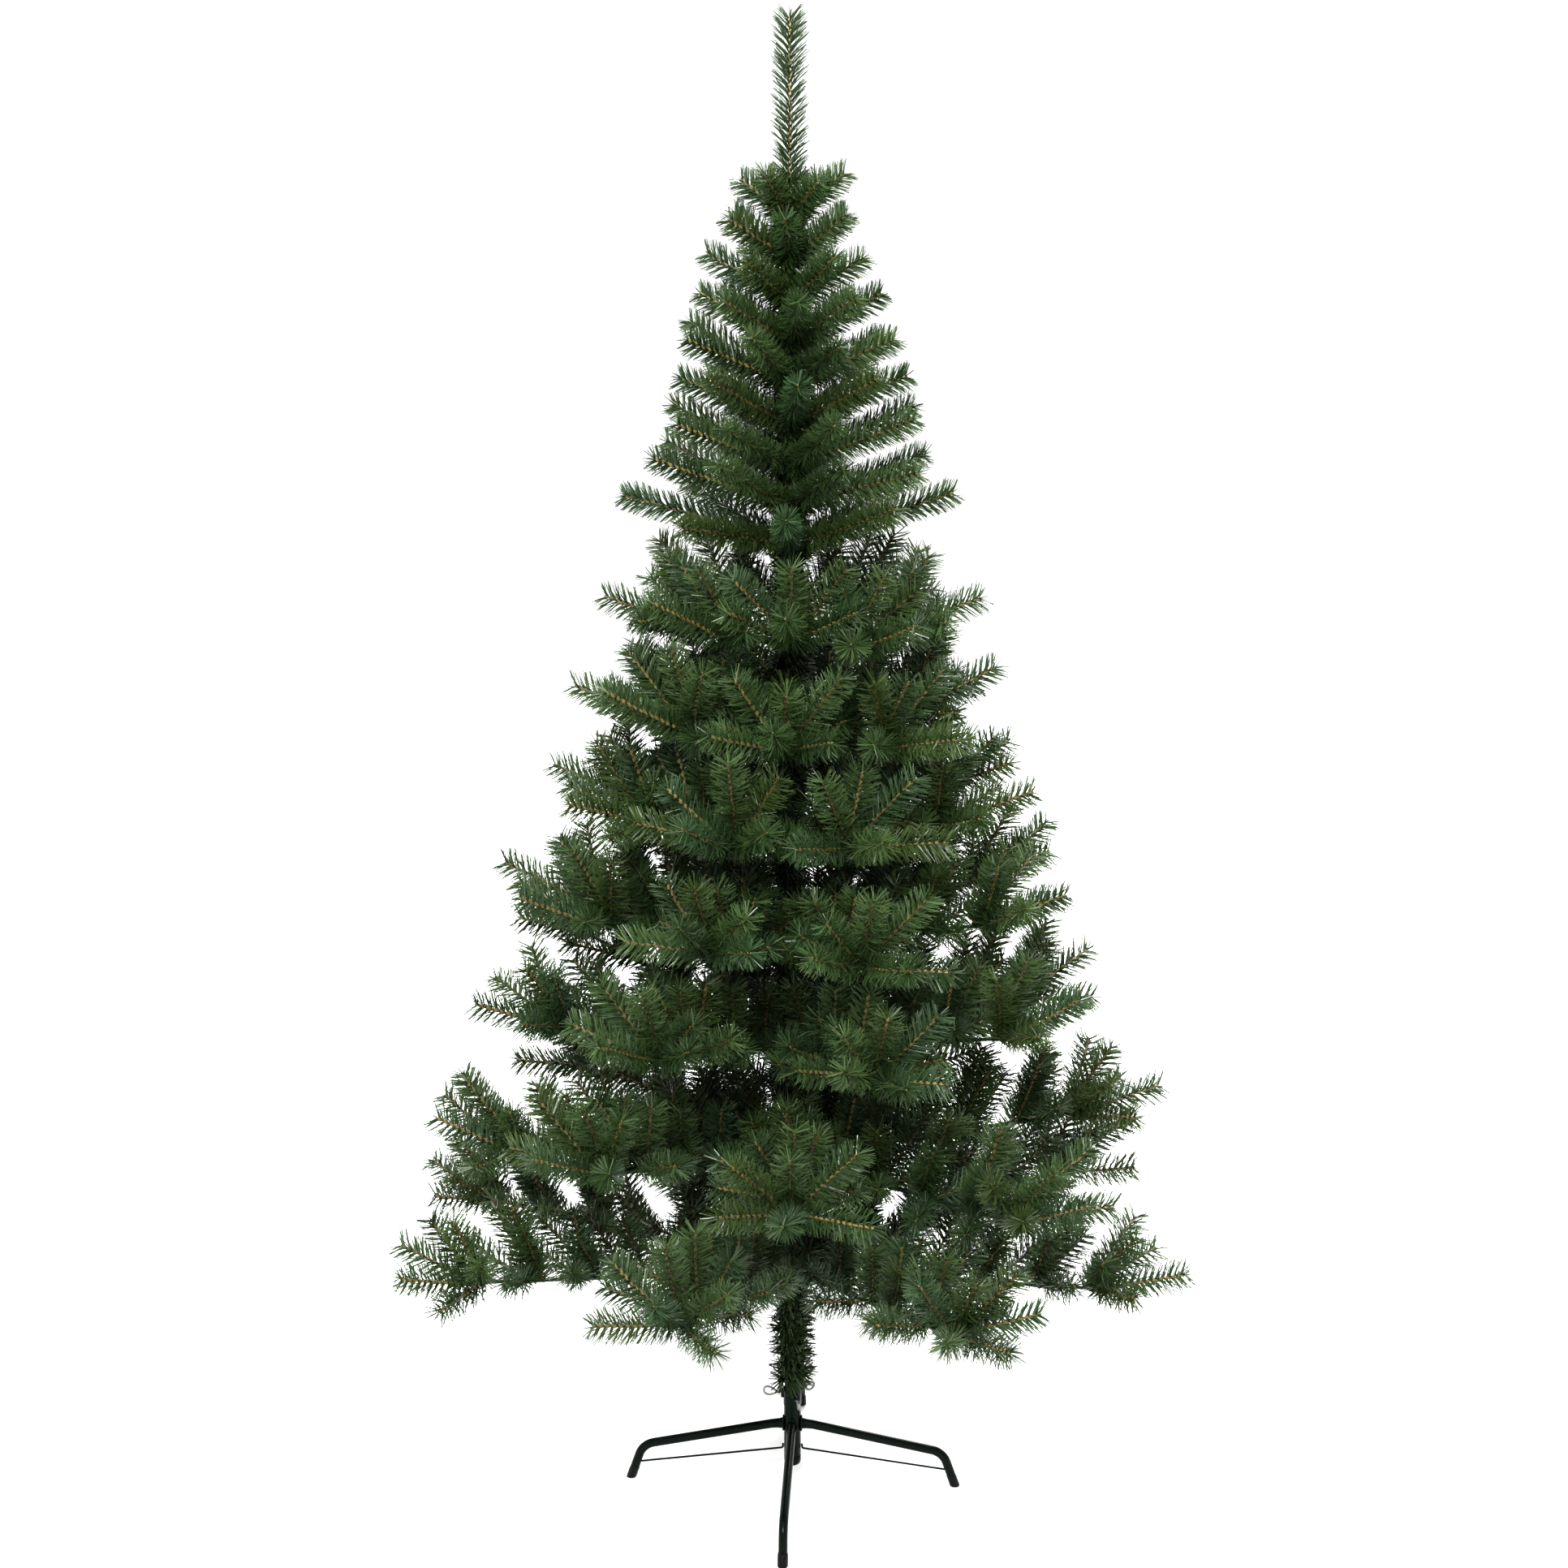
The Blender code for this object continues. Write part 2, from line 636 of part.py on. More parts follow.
def make_leg(number, painted):
    """Bent tube: a flare at the weld, a long slope outward, a bend, and a short splayed foot."""
    slope = math.radians(LEG_SLOPE)
    splay = math.radians(LEG_SPLAY)
    corner = Vector(leg_corner())
    outward = Vector((math.cos(slope), -math.sin(slope)))
    inward = Vector((-math.sin(slope), -math.cos(slope)))
    down_foot = Vector((math.sin(splay), -math.cos(splay)))
    turn = math.pi / 2 - slope - splay
    centre = corner - outward * LEG_BEND_RADIUS * math.tan(turn / 2) + inward * LEG_BEND_RADIUS
    begin = SOCKET_RADIUS + GAP
    flare = begin + WELD_FLARE
    flare_z = corner.y + (corner.x - flare) * math.tan(slope)
    profile = [(begin, flare_z), (flare, flare_z)]
    swell = list(WELD_SWELL)
    for step in range(LEG_BEND_STEPS + 1):
        spoke = Matrix.Rotation(-turn * step / LEG_BEND_STEPS, 2) @ inward
        profile.append(tuple(centre - spoke * LEG_BEND_RADIUS))
        swell.append(1.0)
    cap_top = CAP_HEIGHT + GAP + LEG_RADIUS * math.sin(splay)
    profile.append(tuple(corner + down_foot * (cap_top - corner.y) / down_foot.y))
    swell.append(PINCH)
    azimuth = STAND_TURN + 90 * number
    return wire(f"leg_{number + 1}", upright(azimuth, profile), LEG_RADIUS, painted, swell, sides=2)


def make_cap(number, rubber):
    """Foot cap: leans with its leg and is cut flat on the floor."""
    azimuth = STAND_TURN + 90 * number
    splay = math.tan(math.radians(LEG_SPLAY))
    sections = [
        (0.0, CAP_RADIUS - CAP_CHAMFER),
        (CAP_CHAMFER, CAP_RADIUS),
        (CAP_HEIGHT - CAP_CHAMFER, CAP_RADIUS),
        (CAP_HEIGHT, CAP_RADIUS - CAP_CHAMFER / 2),
    ]
    out = heading(azimuth)
    shape = bmesh.new()
    rings = []
    for z, radius in sections:
        centre = out * (FOOT_REACH - z * splay) + Vector((0, 0, z))
        ring = bmesh.ops.create_circle(shape, segments=CAP_SIDES, radius=radius, cap_ends=False)["verts"]
        bmesh.ops.translate(shape, verts=ring, vec=centre)
        rings.append(ring)
    for low, high in zip(rings, rings[1:]):
        for index in range(CAP_SIDES):
            after = (index + 1) % CAP_SIDES
            shape.faces.new((low[index], low[after], high[after], high[index]))
    shape.faces.new(rings[0])
    shape.faces.new(rings[-1])
    bmesh.ops.recalc_face_normals(shape, faces=shape.faces)
    name = f"foot_cap_{number + 1}"
    mesh = bpy.data.meshes.new(name)
    shape.to_mesh(mesh)
    shape.free()
    made = add_object(name, mesh, rubber)
    shade_round(mesh)
    return made


def make_brace(number, painted):
    """Thin rod from the foot of the socket to the leg just above its cap, hooked up at the socket."""
    azimuth = STAND_TURN + 90 * number
    near = SOCKET_RADIUS + GAP + BRACE_RADIUS
    profile = [
        (near, BRACE_Z + BRACE_HOOK),
        (near, BRACE_Z + BRACE_HOOK / 4),
        (near + BRACE_HOOK / 10, BRACE_Z + BRACE_HOOK / 20),
        (near + BRACE_HOOK / 3, BRACE_Z),
        BRACE_END,
    ]
    return wire(f"brace_{number + 1}", upright(azimuth, profile), BRACE_RADIUS, painted, sides=1)


def make_bolt(number, zinc):
    """Eye bolt: a shank out of the collar, bent into an eye whose end lies beside the shank."""
    azimuth = BOLT_TURNS[number]
    out = heading(azimuth)
    beside = Vector((0, 0, 1)).cross(out)
    begin = SOCKET_COLLAR_RADIUS + GAP
    neck = begin + BOLT_SHANK
    route = [(begin, 0.0, 0.0), (neck - 2 * BOLT_WIRE, 0.0, 0.0)]
    for step in range(1, EYE_STEPS):
        angle = math.tau * step / EYE_STEPS
        distance = neck + EYE_LENGTH * (1 - math.cos(angle)) / 2
        height = EYE_HALF_HEIGHT * math.sin(angle) * math.sin(angle / 2) * EYE_FULLNESS
        shift = EYE_SHIFT * (step / EYE_STEPS) ** 2
        route.append((distance, height, shift))
    points = [out * d + Vector((0, 0, BOLT_Z + h)) + beside * s for d, h, s in route]
    return wire(f"eye_bolt_{number + 1}", points, BOLT_WIRE, zinc, sides=1)


def main():
    clear_scene()
    painted = finish("green_paint", (0.012, 0.022, 0.018), 0.35)
    wrapped = finish("wrapped_wire", (0.010, 0.020, 0.012), 0.45)
    needles = finish("needles", (0.040, 0.110, 0.045), 0.5)
    rubber = finish("black_rubber", (0.010, 0.010, 0.010), 0.7)
    zinc = finish("zinc", (0.60, 0.60, 0.58), 0.35, 1.0)

    make_socket(painted)
    for number in range(4):
        make_leg(number, painted)
        make_cap(number, rubber)
        make_brace(number, painted)
    for number in range(3):
        make_bolt(number, zinc)

    space = Space()
    space.keep_object(make_pole(painted))
    for tier in LIMB_TIERS:
        for bough in range(BOUGHS):
            make_limb(tier, bough, space, wrapped)
    space.keep_object(make_garland(needles))
    for tier in reversed(LIMB_TIERS):
        for bough in range(BOUGHS):
            make_mass(tier, bough, space, needles)
    for tier in range(5, 0, -1):
        make_whorl_mass(tier, space, needles)
    for number in (3, 2, 1):
        make_upper_mass(number, space, needles)
    make_leader(space, needles)


main()
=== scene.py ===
"""An artificial spruce tree on its metal stand: the finished surfaces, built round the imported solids."""

import math
import random

import bpy
import numpy as np
from mathutils import Matrix, Vector


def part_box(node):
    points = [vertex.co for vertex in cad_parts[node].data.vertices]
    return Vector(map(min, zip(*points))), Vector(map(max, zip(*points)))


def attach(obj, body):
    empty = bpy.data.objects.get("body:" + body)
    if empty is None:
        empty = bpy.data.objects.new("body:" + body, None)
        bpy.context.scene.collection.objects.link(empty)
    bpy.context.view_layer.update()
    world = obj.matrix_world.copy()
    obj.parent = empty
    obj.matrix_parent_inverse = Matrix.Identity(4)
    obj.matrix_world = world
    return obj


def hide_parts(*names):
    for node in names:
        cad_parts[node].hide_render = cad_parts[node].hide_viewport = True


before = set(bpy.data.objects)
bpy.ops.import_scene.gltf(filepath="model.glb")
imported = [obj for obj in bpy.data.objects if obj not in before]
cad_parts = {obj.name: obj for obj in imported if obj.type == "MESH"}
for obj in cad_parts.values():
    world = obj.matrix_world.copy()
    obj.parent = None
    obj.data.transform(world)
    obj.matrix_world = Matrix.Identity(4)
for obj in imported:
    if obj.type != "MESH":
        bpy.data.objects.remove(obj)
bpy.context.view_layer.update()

# Camera: a short telephoto at head height, three metres in front of the tree. It looks a little down
# on it, so the tops of the lower boughs show.
CAMERA_AT = (-0.0064, -3.146, 1.749)
CAMERA_PITCH = 14.9  # degrees below level
CAMERA_ROLL = 0.143
FOCAL_LENGTH = 63.35
SENSOR_WIDTH = 36.0
bpy.ops.object.camera_add(
    location=CAMERA_AT,
    rotation=(math.radians(90 - CAMERA_PITCH), math.radians(CAMERA_ROLL), 0.0),
)
camera = bpy.context.object
camera.data.lens = FOCAL_LENGTH
camera.data.sensor_width = SENSOR_WIDTH
bpy.context.scene.camera = camera

# Floor and light: a plain pale studio. A bright even surround gives the white ground. Three soft boxes,
# one above the camera to the left, one overhead and a weaker one behind, model the sprays and draw the
# sheen on needles and tubes.
FLOOR_SIZE = 24.0
FLOOR_PAINT = (0.96, 0.96, 0.96)
FLOOR_ROUGHNESS = 0.9
SURROUND = 1.06
SOFT_BOXES = {  # place, side in metres, power in watts
    "front_box": ((-0.6, -3.4, 3.4), 1.1, 262.0),
    "top_box": ((0.4, -0.6, 4.2), 2.4, 210.0),
    "back_box": ((1.2, 3.4, 3.2), 1.6, 150.0),
}
BOXES_AIM = Vector((0, 0, 0.9))  # the middle of the tree
bpy.ops.mesh.primitive_plane_add(size=FLOOR_SIZE, location=(0, 0, 0))
floor = bpy.context.object
floor.name = "studio_floor"
floor_paint = bpy.data.materials.new("studio_floor_paint")
floor_paint.use_nodes = True
floor_shader = floor_paint.node_tree.nodes["Principled BSDF"]
floor_shader.inputs["Base Color"].default_value = (*FLOOR_PAINT, 1)
floor_shader.inputs["Roughness"].default_value = FLOOR_ROUGHNESS
floor.data.materials.append(floor_paint)
surround = bpy.data.worlds.new("studio_surround")
bpy.context.scene.world = surround
surround.use_nodes = True
surround.node_tree.nodes["Background"].inputs["Color"].default_value = (1, 1, 1, 1)
surround.node_tree.nodes["Background"].inputs["Strength"].default_value = SURROUND
for name, (place, side, power) in SOFT_BOXES.items():
    bpy.ops.object.light_add(type="AREA", location=place)
    box = bpy.context.object
    box.name = name
    box.data.size = side
    box.data.energy = power
    box.rotation_euler = (BOXES_AIM - Vector(place)).to_track_quat("-Z", "Y").to_euler()
bpy.context.scene.view_settings.view_transform = "Standard"
bpy.context.scene.view_settings.look = "Medium High Contrast"

# Paint of the stand: very dark green powder coat, sprayed on the welded steel tubes and baked. It is
# glossy, with a fine orange peel and a slight mottling.
PAINT = (0.0025, 0.0060, 0.0038)
PAINT_ROUGHNESS = 0.19
PAINT_IOR = 1.17
MOTTLE_SCALE = 60.0
MOTTLE_TONE = (0.75, 1.3)  # darkest and lightest, as shares of the coat's colour
MOTTLE_GLOSS = (0.8, 1.25)  # shares of its roughness
PEEL_SCALE = 900.0
PEEL_DEPTH = 0.00015
PEEL_STRENGTH = 0.4


def painted_steel(name, colour, rough, peel_scale, peel_depth):
    """A coat of paint: slight mottling of its colour and gloss, and an orange peel in its relief."""
    coat = bpy.data.materials.new(name)
    coat.use_nodes = True
    nodes = coat.node_tree.nodes
    links = coat.node_tree.links
    shader = nodes["Principled BSDF"]
    shader.inputs["IOR"].default_value = PAINT_IOR
    where = nodes.new("ShaderNodeTexCoord")
    mottle = nodes.new("ShaderNodeTexNoise")
    mottle.inputs["Scale"].default_value = MOTTLE_SCALE
    mottle.inputs["Detail"].default_value = 3.0
    tone = nodes.new("ShaderNodeValToRGB")
    for end, share in zip(tone.color_ramp.elements, MOTTLE_TONE):
        end.color = (*[channel * share for channel in colour], 1)
    gloss = nodes.new("ShaderNodeMapRange")
    gloss.inputs["To Min"].default_value = rough * MOTTLE_GLOSS[0]
    gloss.inputs["To Max"].default_value = rough * MOTTLE_GLOSS[1]
    peel = nodes.new("ShaderNodeTexNoise")
    peel.inputs["Scale"].default_value = peel_scale
    peel.inputs["Detail"].default_value = 2.0
    relief = nodes.new("ShaderNodeBump")
    relief.inputs["Strength"].default_value = PEEL_STRENGTH
    relief.inputs["Distance"].default_value = peel_depth
    links.new(where.outputs["Object"], mottle.inputs["Vector"])
    links.new(where.outputs["Object"], peel.inputs["Vector"])
    links.new(mottle.outputs["Fac"], tone.inputs["Fac"])
    links.new(mottle.outputs["Fac"], gloss.inputs["Value"])
    links.new(tone.outputs["Color"], shader.inputs["Base Color"])
    links.new(gloss.outputs["Result"], shader.inputs["Roughness"])
    links.new(peel.outputs["Fac"], relief.inputs["Height"])
    links.new(relief.outputs["Normal"], shader.inputs["Normal"])
    return coat


stand_paint = painted_steel("stand_powder_coat", PAINT, PAINT_ROUGHNESS, PEEL_SCALE, PEEL_DEPTH)


def settled(name, material, smooth=40):
    """The active object, named, finished in one material and with its place applied to its mesh."""
    piece = bpy.context.object
    piece.name = name
    piece.data.name = name
    bpy.ops.object.transform_apply(location=True, rotation=True, scale=True)
    piece.data.materials.clear()
    piece.data.materials.append(material)
    if smooth:
        bpy.ops.object.shade_smooth_by_angle(angle=math.radians(smooth))
    return piece


def turned(rings, sides):
    """A solid turned on the pole's axis: a disc at the foot, extruded ring by ring as (radius, height)."""
    bpy.ops.object.select_all(action="DESELECT")
    bpy.ops.mesh.primitive_circle_add(
        vertices=sides, radius=rings[0][0], location=(0, 0, rings[0][1]), fill_type="NGON"
    )
    bpy.ops.object.mode_set(mode="EDIT")
    for (radius, z), (next_radius, next_z) in zip(rings, rings[1:]):
        bpy.ops.mesh.extrude_region_move(TRANSFORM_OT_translate={"value": (0, 0, next_z - z)})
        share = next_radius / radius
        bpy.ops.transform.resize(value=(share, share, 1), center_override=(0, 0, next_z))
    bpy.ops.mesh.select_all(action="SELECT")
    bpy.ops.mesh.normals_make_consistent(inside=False)
    bpy.ops.object.mode_set(mode="OBJECT")


# Post of the stand: a tube with a wider rolled collar at its top, which takes the pole. Three nuts for
# the clamping bolts are welded to the collar before painting.
POST_RADIUS = 0.0105
COLLAR_RADIUS = 0.0112
POST_FOOT_Z = 0.0376
COLLAR_Z = 0.108
POST_TOP_Z = 0.130
POLE_RADIUS = 0.0095
GAP = 0.0003  # between two pieces that touch
BORE = POLE_RADIUS + GAP
BORE_DEPTH = 0.010
LIP = 0.0004
ROLL = 0.003  # the stretch below the collar over which the tube widens
turned(
    [
        (POST_RADIUS - LIP, POST_FOOT_Z),
        (POST_RADIUS, POST_FOOT_Z + LIP),
        (POST_RADIUS, COLLAR_Z - ROLL),
        (POST_RADIUS + 0.0002, COLLAR_Z - ROLL / 2),
        (COLLAR_RADIUS, COLLAR_Z),
        (COLLAR_RADIUS, POST_TOP_Z - LIP),
        (COLLAR_RADIUS - LIP, POST_TOP_Z),
        (BORE, POST_TOP_Z),
        (BORE, POST_TOP_Z - BORE_DEPTH),
    ],
    48,
)
post = settled("stand_post", stand_paint, 30)
BOLT_Z = 0.121
BOLT_TURNS = (-78.0, 42.0, 162.0)
NUT_SIZE = (0.0042, 0.0085, 0.0105)
NUT_SUNK = 0.0012  # into the collar
NUT_ROUNDING = 0.0009


def turned_copy(source, name, degrees):
    """A copy with a mesh of its own, turned about the pole's axis."""
    copy = source.copy()
    copy.data = source.data.copy()
    copy.name = name
    copy.data.name = name
    bpy.context.scene.collection.objects.link(copy)
    copy.data.transform(Matrix.Rotation(math.radians(degrees), 4, "Z"))
    return copy


bpy.ops.object.select_all(action="DESELECT")
nut_x = COLLAR_RADIUS + NUT_SIZE[0] / 2 - NUT_SUNK
bpy.ops.mesh.primitive_cube_add(size=1, location=(nut_x, 0, BOLT_Z))
bpy.ops.transform.resize(value=NUT_SIZE)
nut = settled("collar_nut", stand_paint, 0)
rounding = nut.modifiers.new("rounding", "BEVEL")
rounding.width = NUT_ROUNDING
rounding.segments = 3
bpy.ops.object.modifier_apply(modifier="rounding")
bpy.ops.object.shade_smooth_by_angle(angle=math.radians(40))
nuts = [nut]
for number in (1, 2):
    nuts.append(turned_copy(nut, f"collar_nut_{number + 1}", BOLT_TURNS[number]))
nut.data.transform(Matrix.Rotation(math.radians(BOLT_TURNS[0]), 4, "Z"))
nut.name = "collar_nut_1"
for piece in (post, *nuts):
    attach(piece, "root")
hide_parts("socket_tube")

# Plug of the post: a turned plastic stopper pushed into the foot of the tube, with a rounded end, and the
# small rivet above it that holds it in.
PLUG_FOOT_Z = 0.025
RIVET_Z = 0.0475
RIVET_TURN = -62.0
RIVET_RADIUS = 0.0015
RIVET_SHAPE = (0.45, 1, 1)  # its head is low
turned(
    [
        (0.0066, PLUG_FOOT_Z),
        (0.0084, PLUG_FOOT_Z + 0.0007),
        (0.0098, PLUG_FOOT_Z + 0.0022),
        (POST_RADIUS, PLUG_FOOT_Z + 0.005),
        (POST_RADIUS, POST_FOOT_Z - 0.0014),
        (POST_RADIUS - 0.0004, POST_FOOT_Z - 0.0008),
        (POST_RADIUS - 0.0012, POST_FOOT_Z - 0.0004),
        (POST_RADIUS - 0.0012, POST_FOOT_Z + 0.001),
    ],
    48,
)
plug = settled("post_plug", stand_paint, 35)
bpy.ops.object.select_all(action="DESELECT")
bpy.ops.mesh.primitive_uv_sphere_add(
    segments=16, ring_count=8, radius=RIVET_RADIUS, location=(POST_RADIUS, 0, RIVET_Z)
)
bpy.ops.transform.resize(value=RIVET_SHAPE)
rivet = settled("post_rivet", stand_paint, 60)
rivet.data.transform(Matrix.Rotation(math.radians(RIVET_TURN), 4, "Z"))
for piece in (plug, rivet):
    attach(piece, "root")
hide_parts("socket_tube")

# Legs: four bent steel tubes, squeezed at the root and welded to the post a quarter turn apart. A
# rippled bead of weld runs round each root, under the paint.
STAND_TURN = -3.5
FOOT_REACH = 0.205
LEG_RADIUS = 0.0055
LEG_Z = 0.082
LEG_SLOPE = math.radians(11.5)
LEG_SPLAY = math.radians(19.0)
LEG_BEND = 0.025
LEGS = 4
ROOT_OUT = 0.0002  # of the squeezed end, from the post
ROOT_BACK = 0.005  # inwards of the point on the leg's line that gives the root its height
ROOT_FALL = 0.5  # share of the leg's slope by which the flare falls
LAST_RING = 0.6  # share of the straight stretch from the bend to the foot
ROOT_SHAPE = (1, 0.95, 1.5)  # the tube's end is squeezed tall
ROOT_FLARE = ((0.0025, 1.0, 0.86), (0.0045, 1.02, 0.87), (0.0080, 1.03, 0.92))  # outwards, wider, lower
CAP_HEIGHT = 0.016
CAP_GRIP = 0.004  # of the leg's end, inside its cap
fall = math.tan(LEG_SLOPE)
lean = math.tan(LEG_SPLAY)
corner_z = (LEG_Z - (FOOT_REACH - POST_RADIUS) * fall) / (1 - lean * fall)
corner = Vector((FOOT_REACH - corner_z * lean, 0, corner_z))
outward = Vector((math.cos(LEG_SLOPE), 0, -math.sin(LEG_SLOPE)))
inward = Vector((-math.sin(LEG_SLOPE), 0, -math.cos(LEG_SLOPE)))
footward = Vector((math.sin(LEG_SPLAY), 0, -math.cos(LEG_SPLAY)))
leg_turn = math.pi / 2 - LEG_SLOPE - LEG_SPLAY
bend_start = corner - outward * LEG_BEND * math.tan(leg_turn / 2)
bend_centre = bend_start + inward * LEG_BEND
root_x = POST_RADIUS + ROOT_OUT
root = Vector((root_x, 0, corner.z + (corner.x - root_x - ROOT_BACK) * fall))
bpy.ops.object.select_all(action="DESELECT")
bpy.ops.mesh.primitive_circle_add(
    vertices=24, radius=LEG_RADIUS, location=root, rotation=(0, math.pi / 2, 0)
)
bpy.ops.object.mode_set(mode="EDIT")
bpy.ops.transform.resize(value=ROOT_SHAPE)
here = root
for reach, wider, lower in ROOT_FLARE:
    step = Vector((reach, 0, -reach * fall * ROOT_FALL))
    bpy.ops.mesh.extrude_region_move(TRANSFORM_OT_translate={"value": step})
    bpy.ops.transform.resize(value=(1, wider, lower), center_override=here + step)
    here = here + step
bpy.ops.mesh.extrude_region_move(TRANSFORM_OT_translate={"value": bend_start - here})
bpy.ops.transform.rotate(value=-LEG_SLOPE, orient_axis="Y", center_override=bend_start)
bpy.ops.mesh.spin(steps=14, dupli=False, angle=-leg_turn, center=bend_centre, axis=(0, 1, 0))
leg_end_z = CAP_HEIGHT - CAP_GRIP
bend_end = corner + footward * LEG_BEND * math.tan(leg_turn / 2)
down = (bend_end.z - leg_end_z) / -footward.z
for share in (LAST_RING, 1 - LAST_RING):
    bpy.ops.mesh.extrude_region_move(TRANSFORM_OT_translate={"value": footward * down * share})
bpy.ops.mesh.edge_face_add()
bpy.ops.mesh.select_all(action="SELECT")
bpy.ops.mesh.normals_make_consistent(inside=False)
bpy.ops.object.mode_set(mode="OBJECT")
leg = settled("leg_pattern", stand_paint, 40)
BEAD_RADIUS = 0.0013
BEAD_SHAPE = (0.8, 0.95, 1.35)
BEAD_CLEAR = (0.0006, 0.0012)  # of its middle, outwards from the root and round the tube
RIPPLE = 0.00035
RIPPLE_TURNS = (2600, 2300)  # radians a metre, along Y and Z
bpy.ops.object.select_all(action="DESELECT")
bpy.ops.mesh.primitive_torus_add(
    major_segments=40,
    minor_segments=10,
    major_radius=LEG_RADIUS + BEAD_CLEAR[1],
    minor_radius=BEAD_RADIUS,
    location=(root_x + BEAD_CLEAR[0], 0, root.z),
    rotation=(0, math.pi / 2, 0),
)
bpy.ops.transform.resize(value=BEAD_SHAPE)
bead = settled("weld_pattern", stand_paint, 60)
for vertex in bead.data.vertices:
    ripple = math.sin(vertex.co.y * RIPPLE_TURNS[0]) * math.cos(vertex.co.z * RIPPLE_TURNS[1])
    vertex.co += (vertex.co - Vector((root_x, 0, root.z))).normalized() * ripple * RIPPLE
for number in reversed(range(LEGS)):
    turn = STAND_TURN + 360 / LEGS * number
    for source, name in ((leg, "stand_leg"), (bead, "leg_weld")):
        piece = turned_copy(source, f"{name}_{number + 1}", turn)
        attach(piece, "root")
        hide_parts(f"leg_{number + 1}")
bpy.data.objects.remove(leg)
bpy.data.objects.remove(bead)

# Foot caps: soft black rubber, moulded as short cups and pushed over the ends of the legs. They are
# flat where they stand on the floor.
CAP_RADIUS = 0.0064
RUBBER = (0.004, 0.004, 0.004)
RUBBER_ROUGHNESS = 0.40
RUBBER_IOR = 1.22
RUBBER_GRAIN = 1400.0
GRAIN_STRENGTH = 0.5
GRAIN_DEPTH = 0.0001
rubber = bpy.data.materials.new("cap_rubber")
rubber.use_nodes = True
rubber_nodes = rubber.node_tree.nodes
rubber_links = rubber.node_tree.links
rubber_shader = rubber_nodes["Principled BSDF"]
rubber_shader.inputs["Base Color"].default_value = (*RUBBER, 1)
rubber_shader.inputs["Roughness"].default_value = RUBBER_ROUGHNESS
rubber_shader.inputs["IOR"].default_value = RUBBER_IOR
rubber_where = rubber_nodes.new("ShaderNodeTexCoord")
rubber_grain = rubber_nodes.new("ShaderNodeTexNoise")
rubber_grain.inputs["Scale"].default_value = RUBBER_GRAIN
rubber_relief = rubber_nodes.new("ShaderNodeBump")
rubber_relief.inputs["Strength"].default_value = GRAIN_STRENGTH
rubber_relief.inputs["Distance"].default_value = GRAIN_DEPTH
rubber_links.new(rubber_where.outputs["Object"], rubber_grain.inputs["Vector"])
rubber_links.new(rubber_grain.outputs["Fac"], rubber_relief.inputs["Height"])
rubber_links.new(rubber_relief.outputs["Normal"], rubber_shader.inputs["Normal"])
cap_rings = (
    (0.0, CAP_RADIUS - 0.0013),
    (0.0005, CAP_RADIUS - 0.0004),
    (0.0014, CAP_RADIUS),
    (CAP_HEIGHT - 0.0035, CAP_RADIUS - 0.0001),
    (CAP_HEIGHT - 0.0012, CAP_RADIUS - 0.0003),
    (CAP_HEIGHT, CAP_RADIUS - 0.0009),
    (CAP_HEIGHT + 0.0001, LEG_RADIUS * 0.9),
)
bpy.ops.object.select_all(action="DESELECT")
bpy.ops.mesh.primitive_circle_add(
    vertices=28, radius=cap_rings[0][1], location=(FOOT_REACH, 0, 0), fill_type="NGON"
)
bpy.ops.object.mode_set(mode="EDIT")
for (z, radius), (next_z, next_radius) in zip(cap_rings, cap_rings[1:]):
    rise = next_z - z
    bpy.ops.mesh.extrude_region_move(TRANSFORM_OT_translate={"value": (-rise * lean, 0, rise)})
    share = next_radius / radius
    middle = (FOOT_REACH - next_z * lean, 0, next_z)
    bpy.ops.transform.resize(value=(share, share, 1), center_override=middle)
bpy.ops.mesh.select_all(action="SELECT")
bpy.ops.mesh.normals_make_consistent(inside=False)
bpy.ops.object.mode_set(mode="OBJECT")
cap = settled("foot_cap", rubber, 50)
for number in range(LEGS):
    piece = turned_copy(cap, f"leg_cap_{number + 1}", STAND_TURN + 360 / LEGS * number)
    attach(piece, "root")
    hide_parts(f"foot_cap_{number + 1}")
bpy.data.objects.remove(cap)

# Braces: thin steel rods under the legs, hooked up against the post and spot welded to it. Their outer
# ends are welded to the legs, just above the caps.
BRACE_RADIUS = 0.00125
BRACE_Z = 0.046
BRACE_HOOK = 0.006
BRACE_BEND = 0.003
BRACE_END = Vector((0.1885, 0, 0.0225))
BRACE_WELD = 0.0037  # from there the rod runs on into its weld on the leg


def bent_wire(points, radius, round_steps):
    """A round wire along the points: a bevelled curve, capped and made a mesh."""
    bpy.ops.object.select_all(action="DESELECT")
    bpy.ops.curve.primitive_bezier_curve_add()
    drawn = bpy.context.object
    drawn.data.splines.clear()
    line = drawn.data.splines.new("POLY")
    line.points.add(len(points) - 1)
    for point, place in zip(line.points, points):
        point.co = (*place, 1.0)
    drawn.location = (0, 0, 0)
    drawn.data.dimensions = "3D"
    drawn.data.bevel_depth = radius
    drawn.data.bevel_resolution = round_steps
    drawn.data.use_fill_caps = True
    bpy.ops.object.convert(target="MESH")


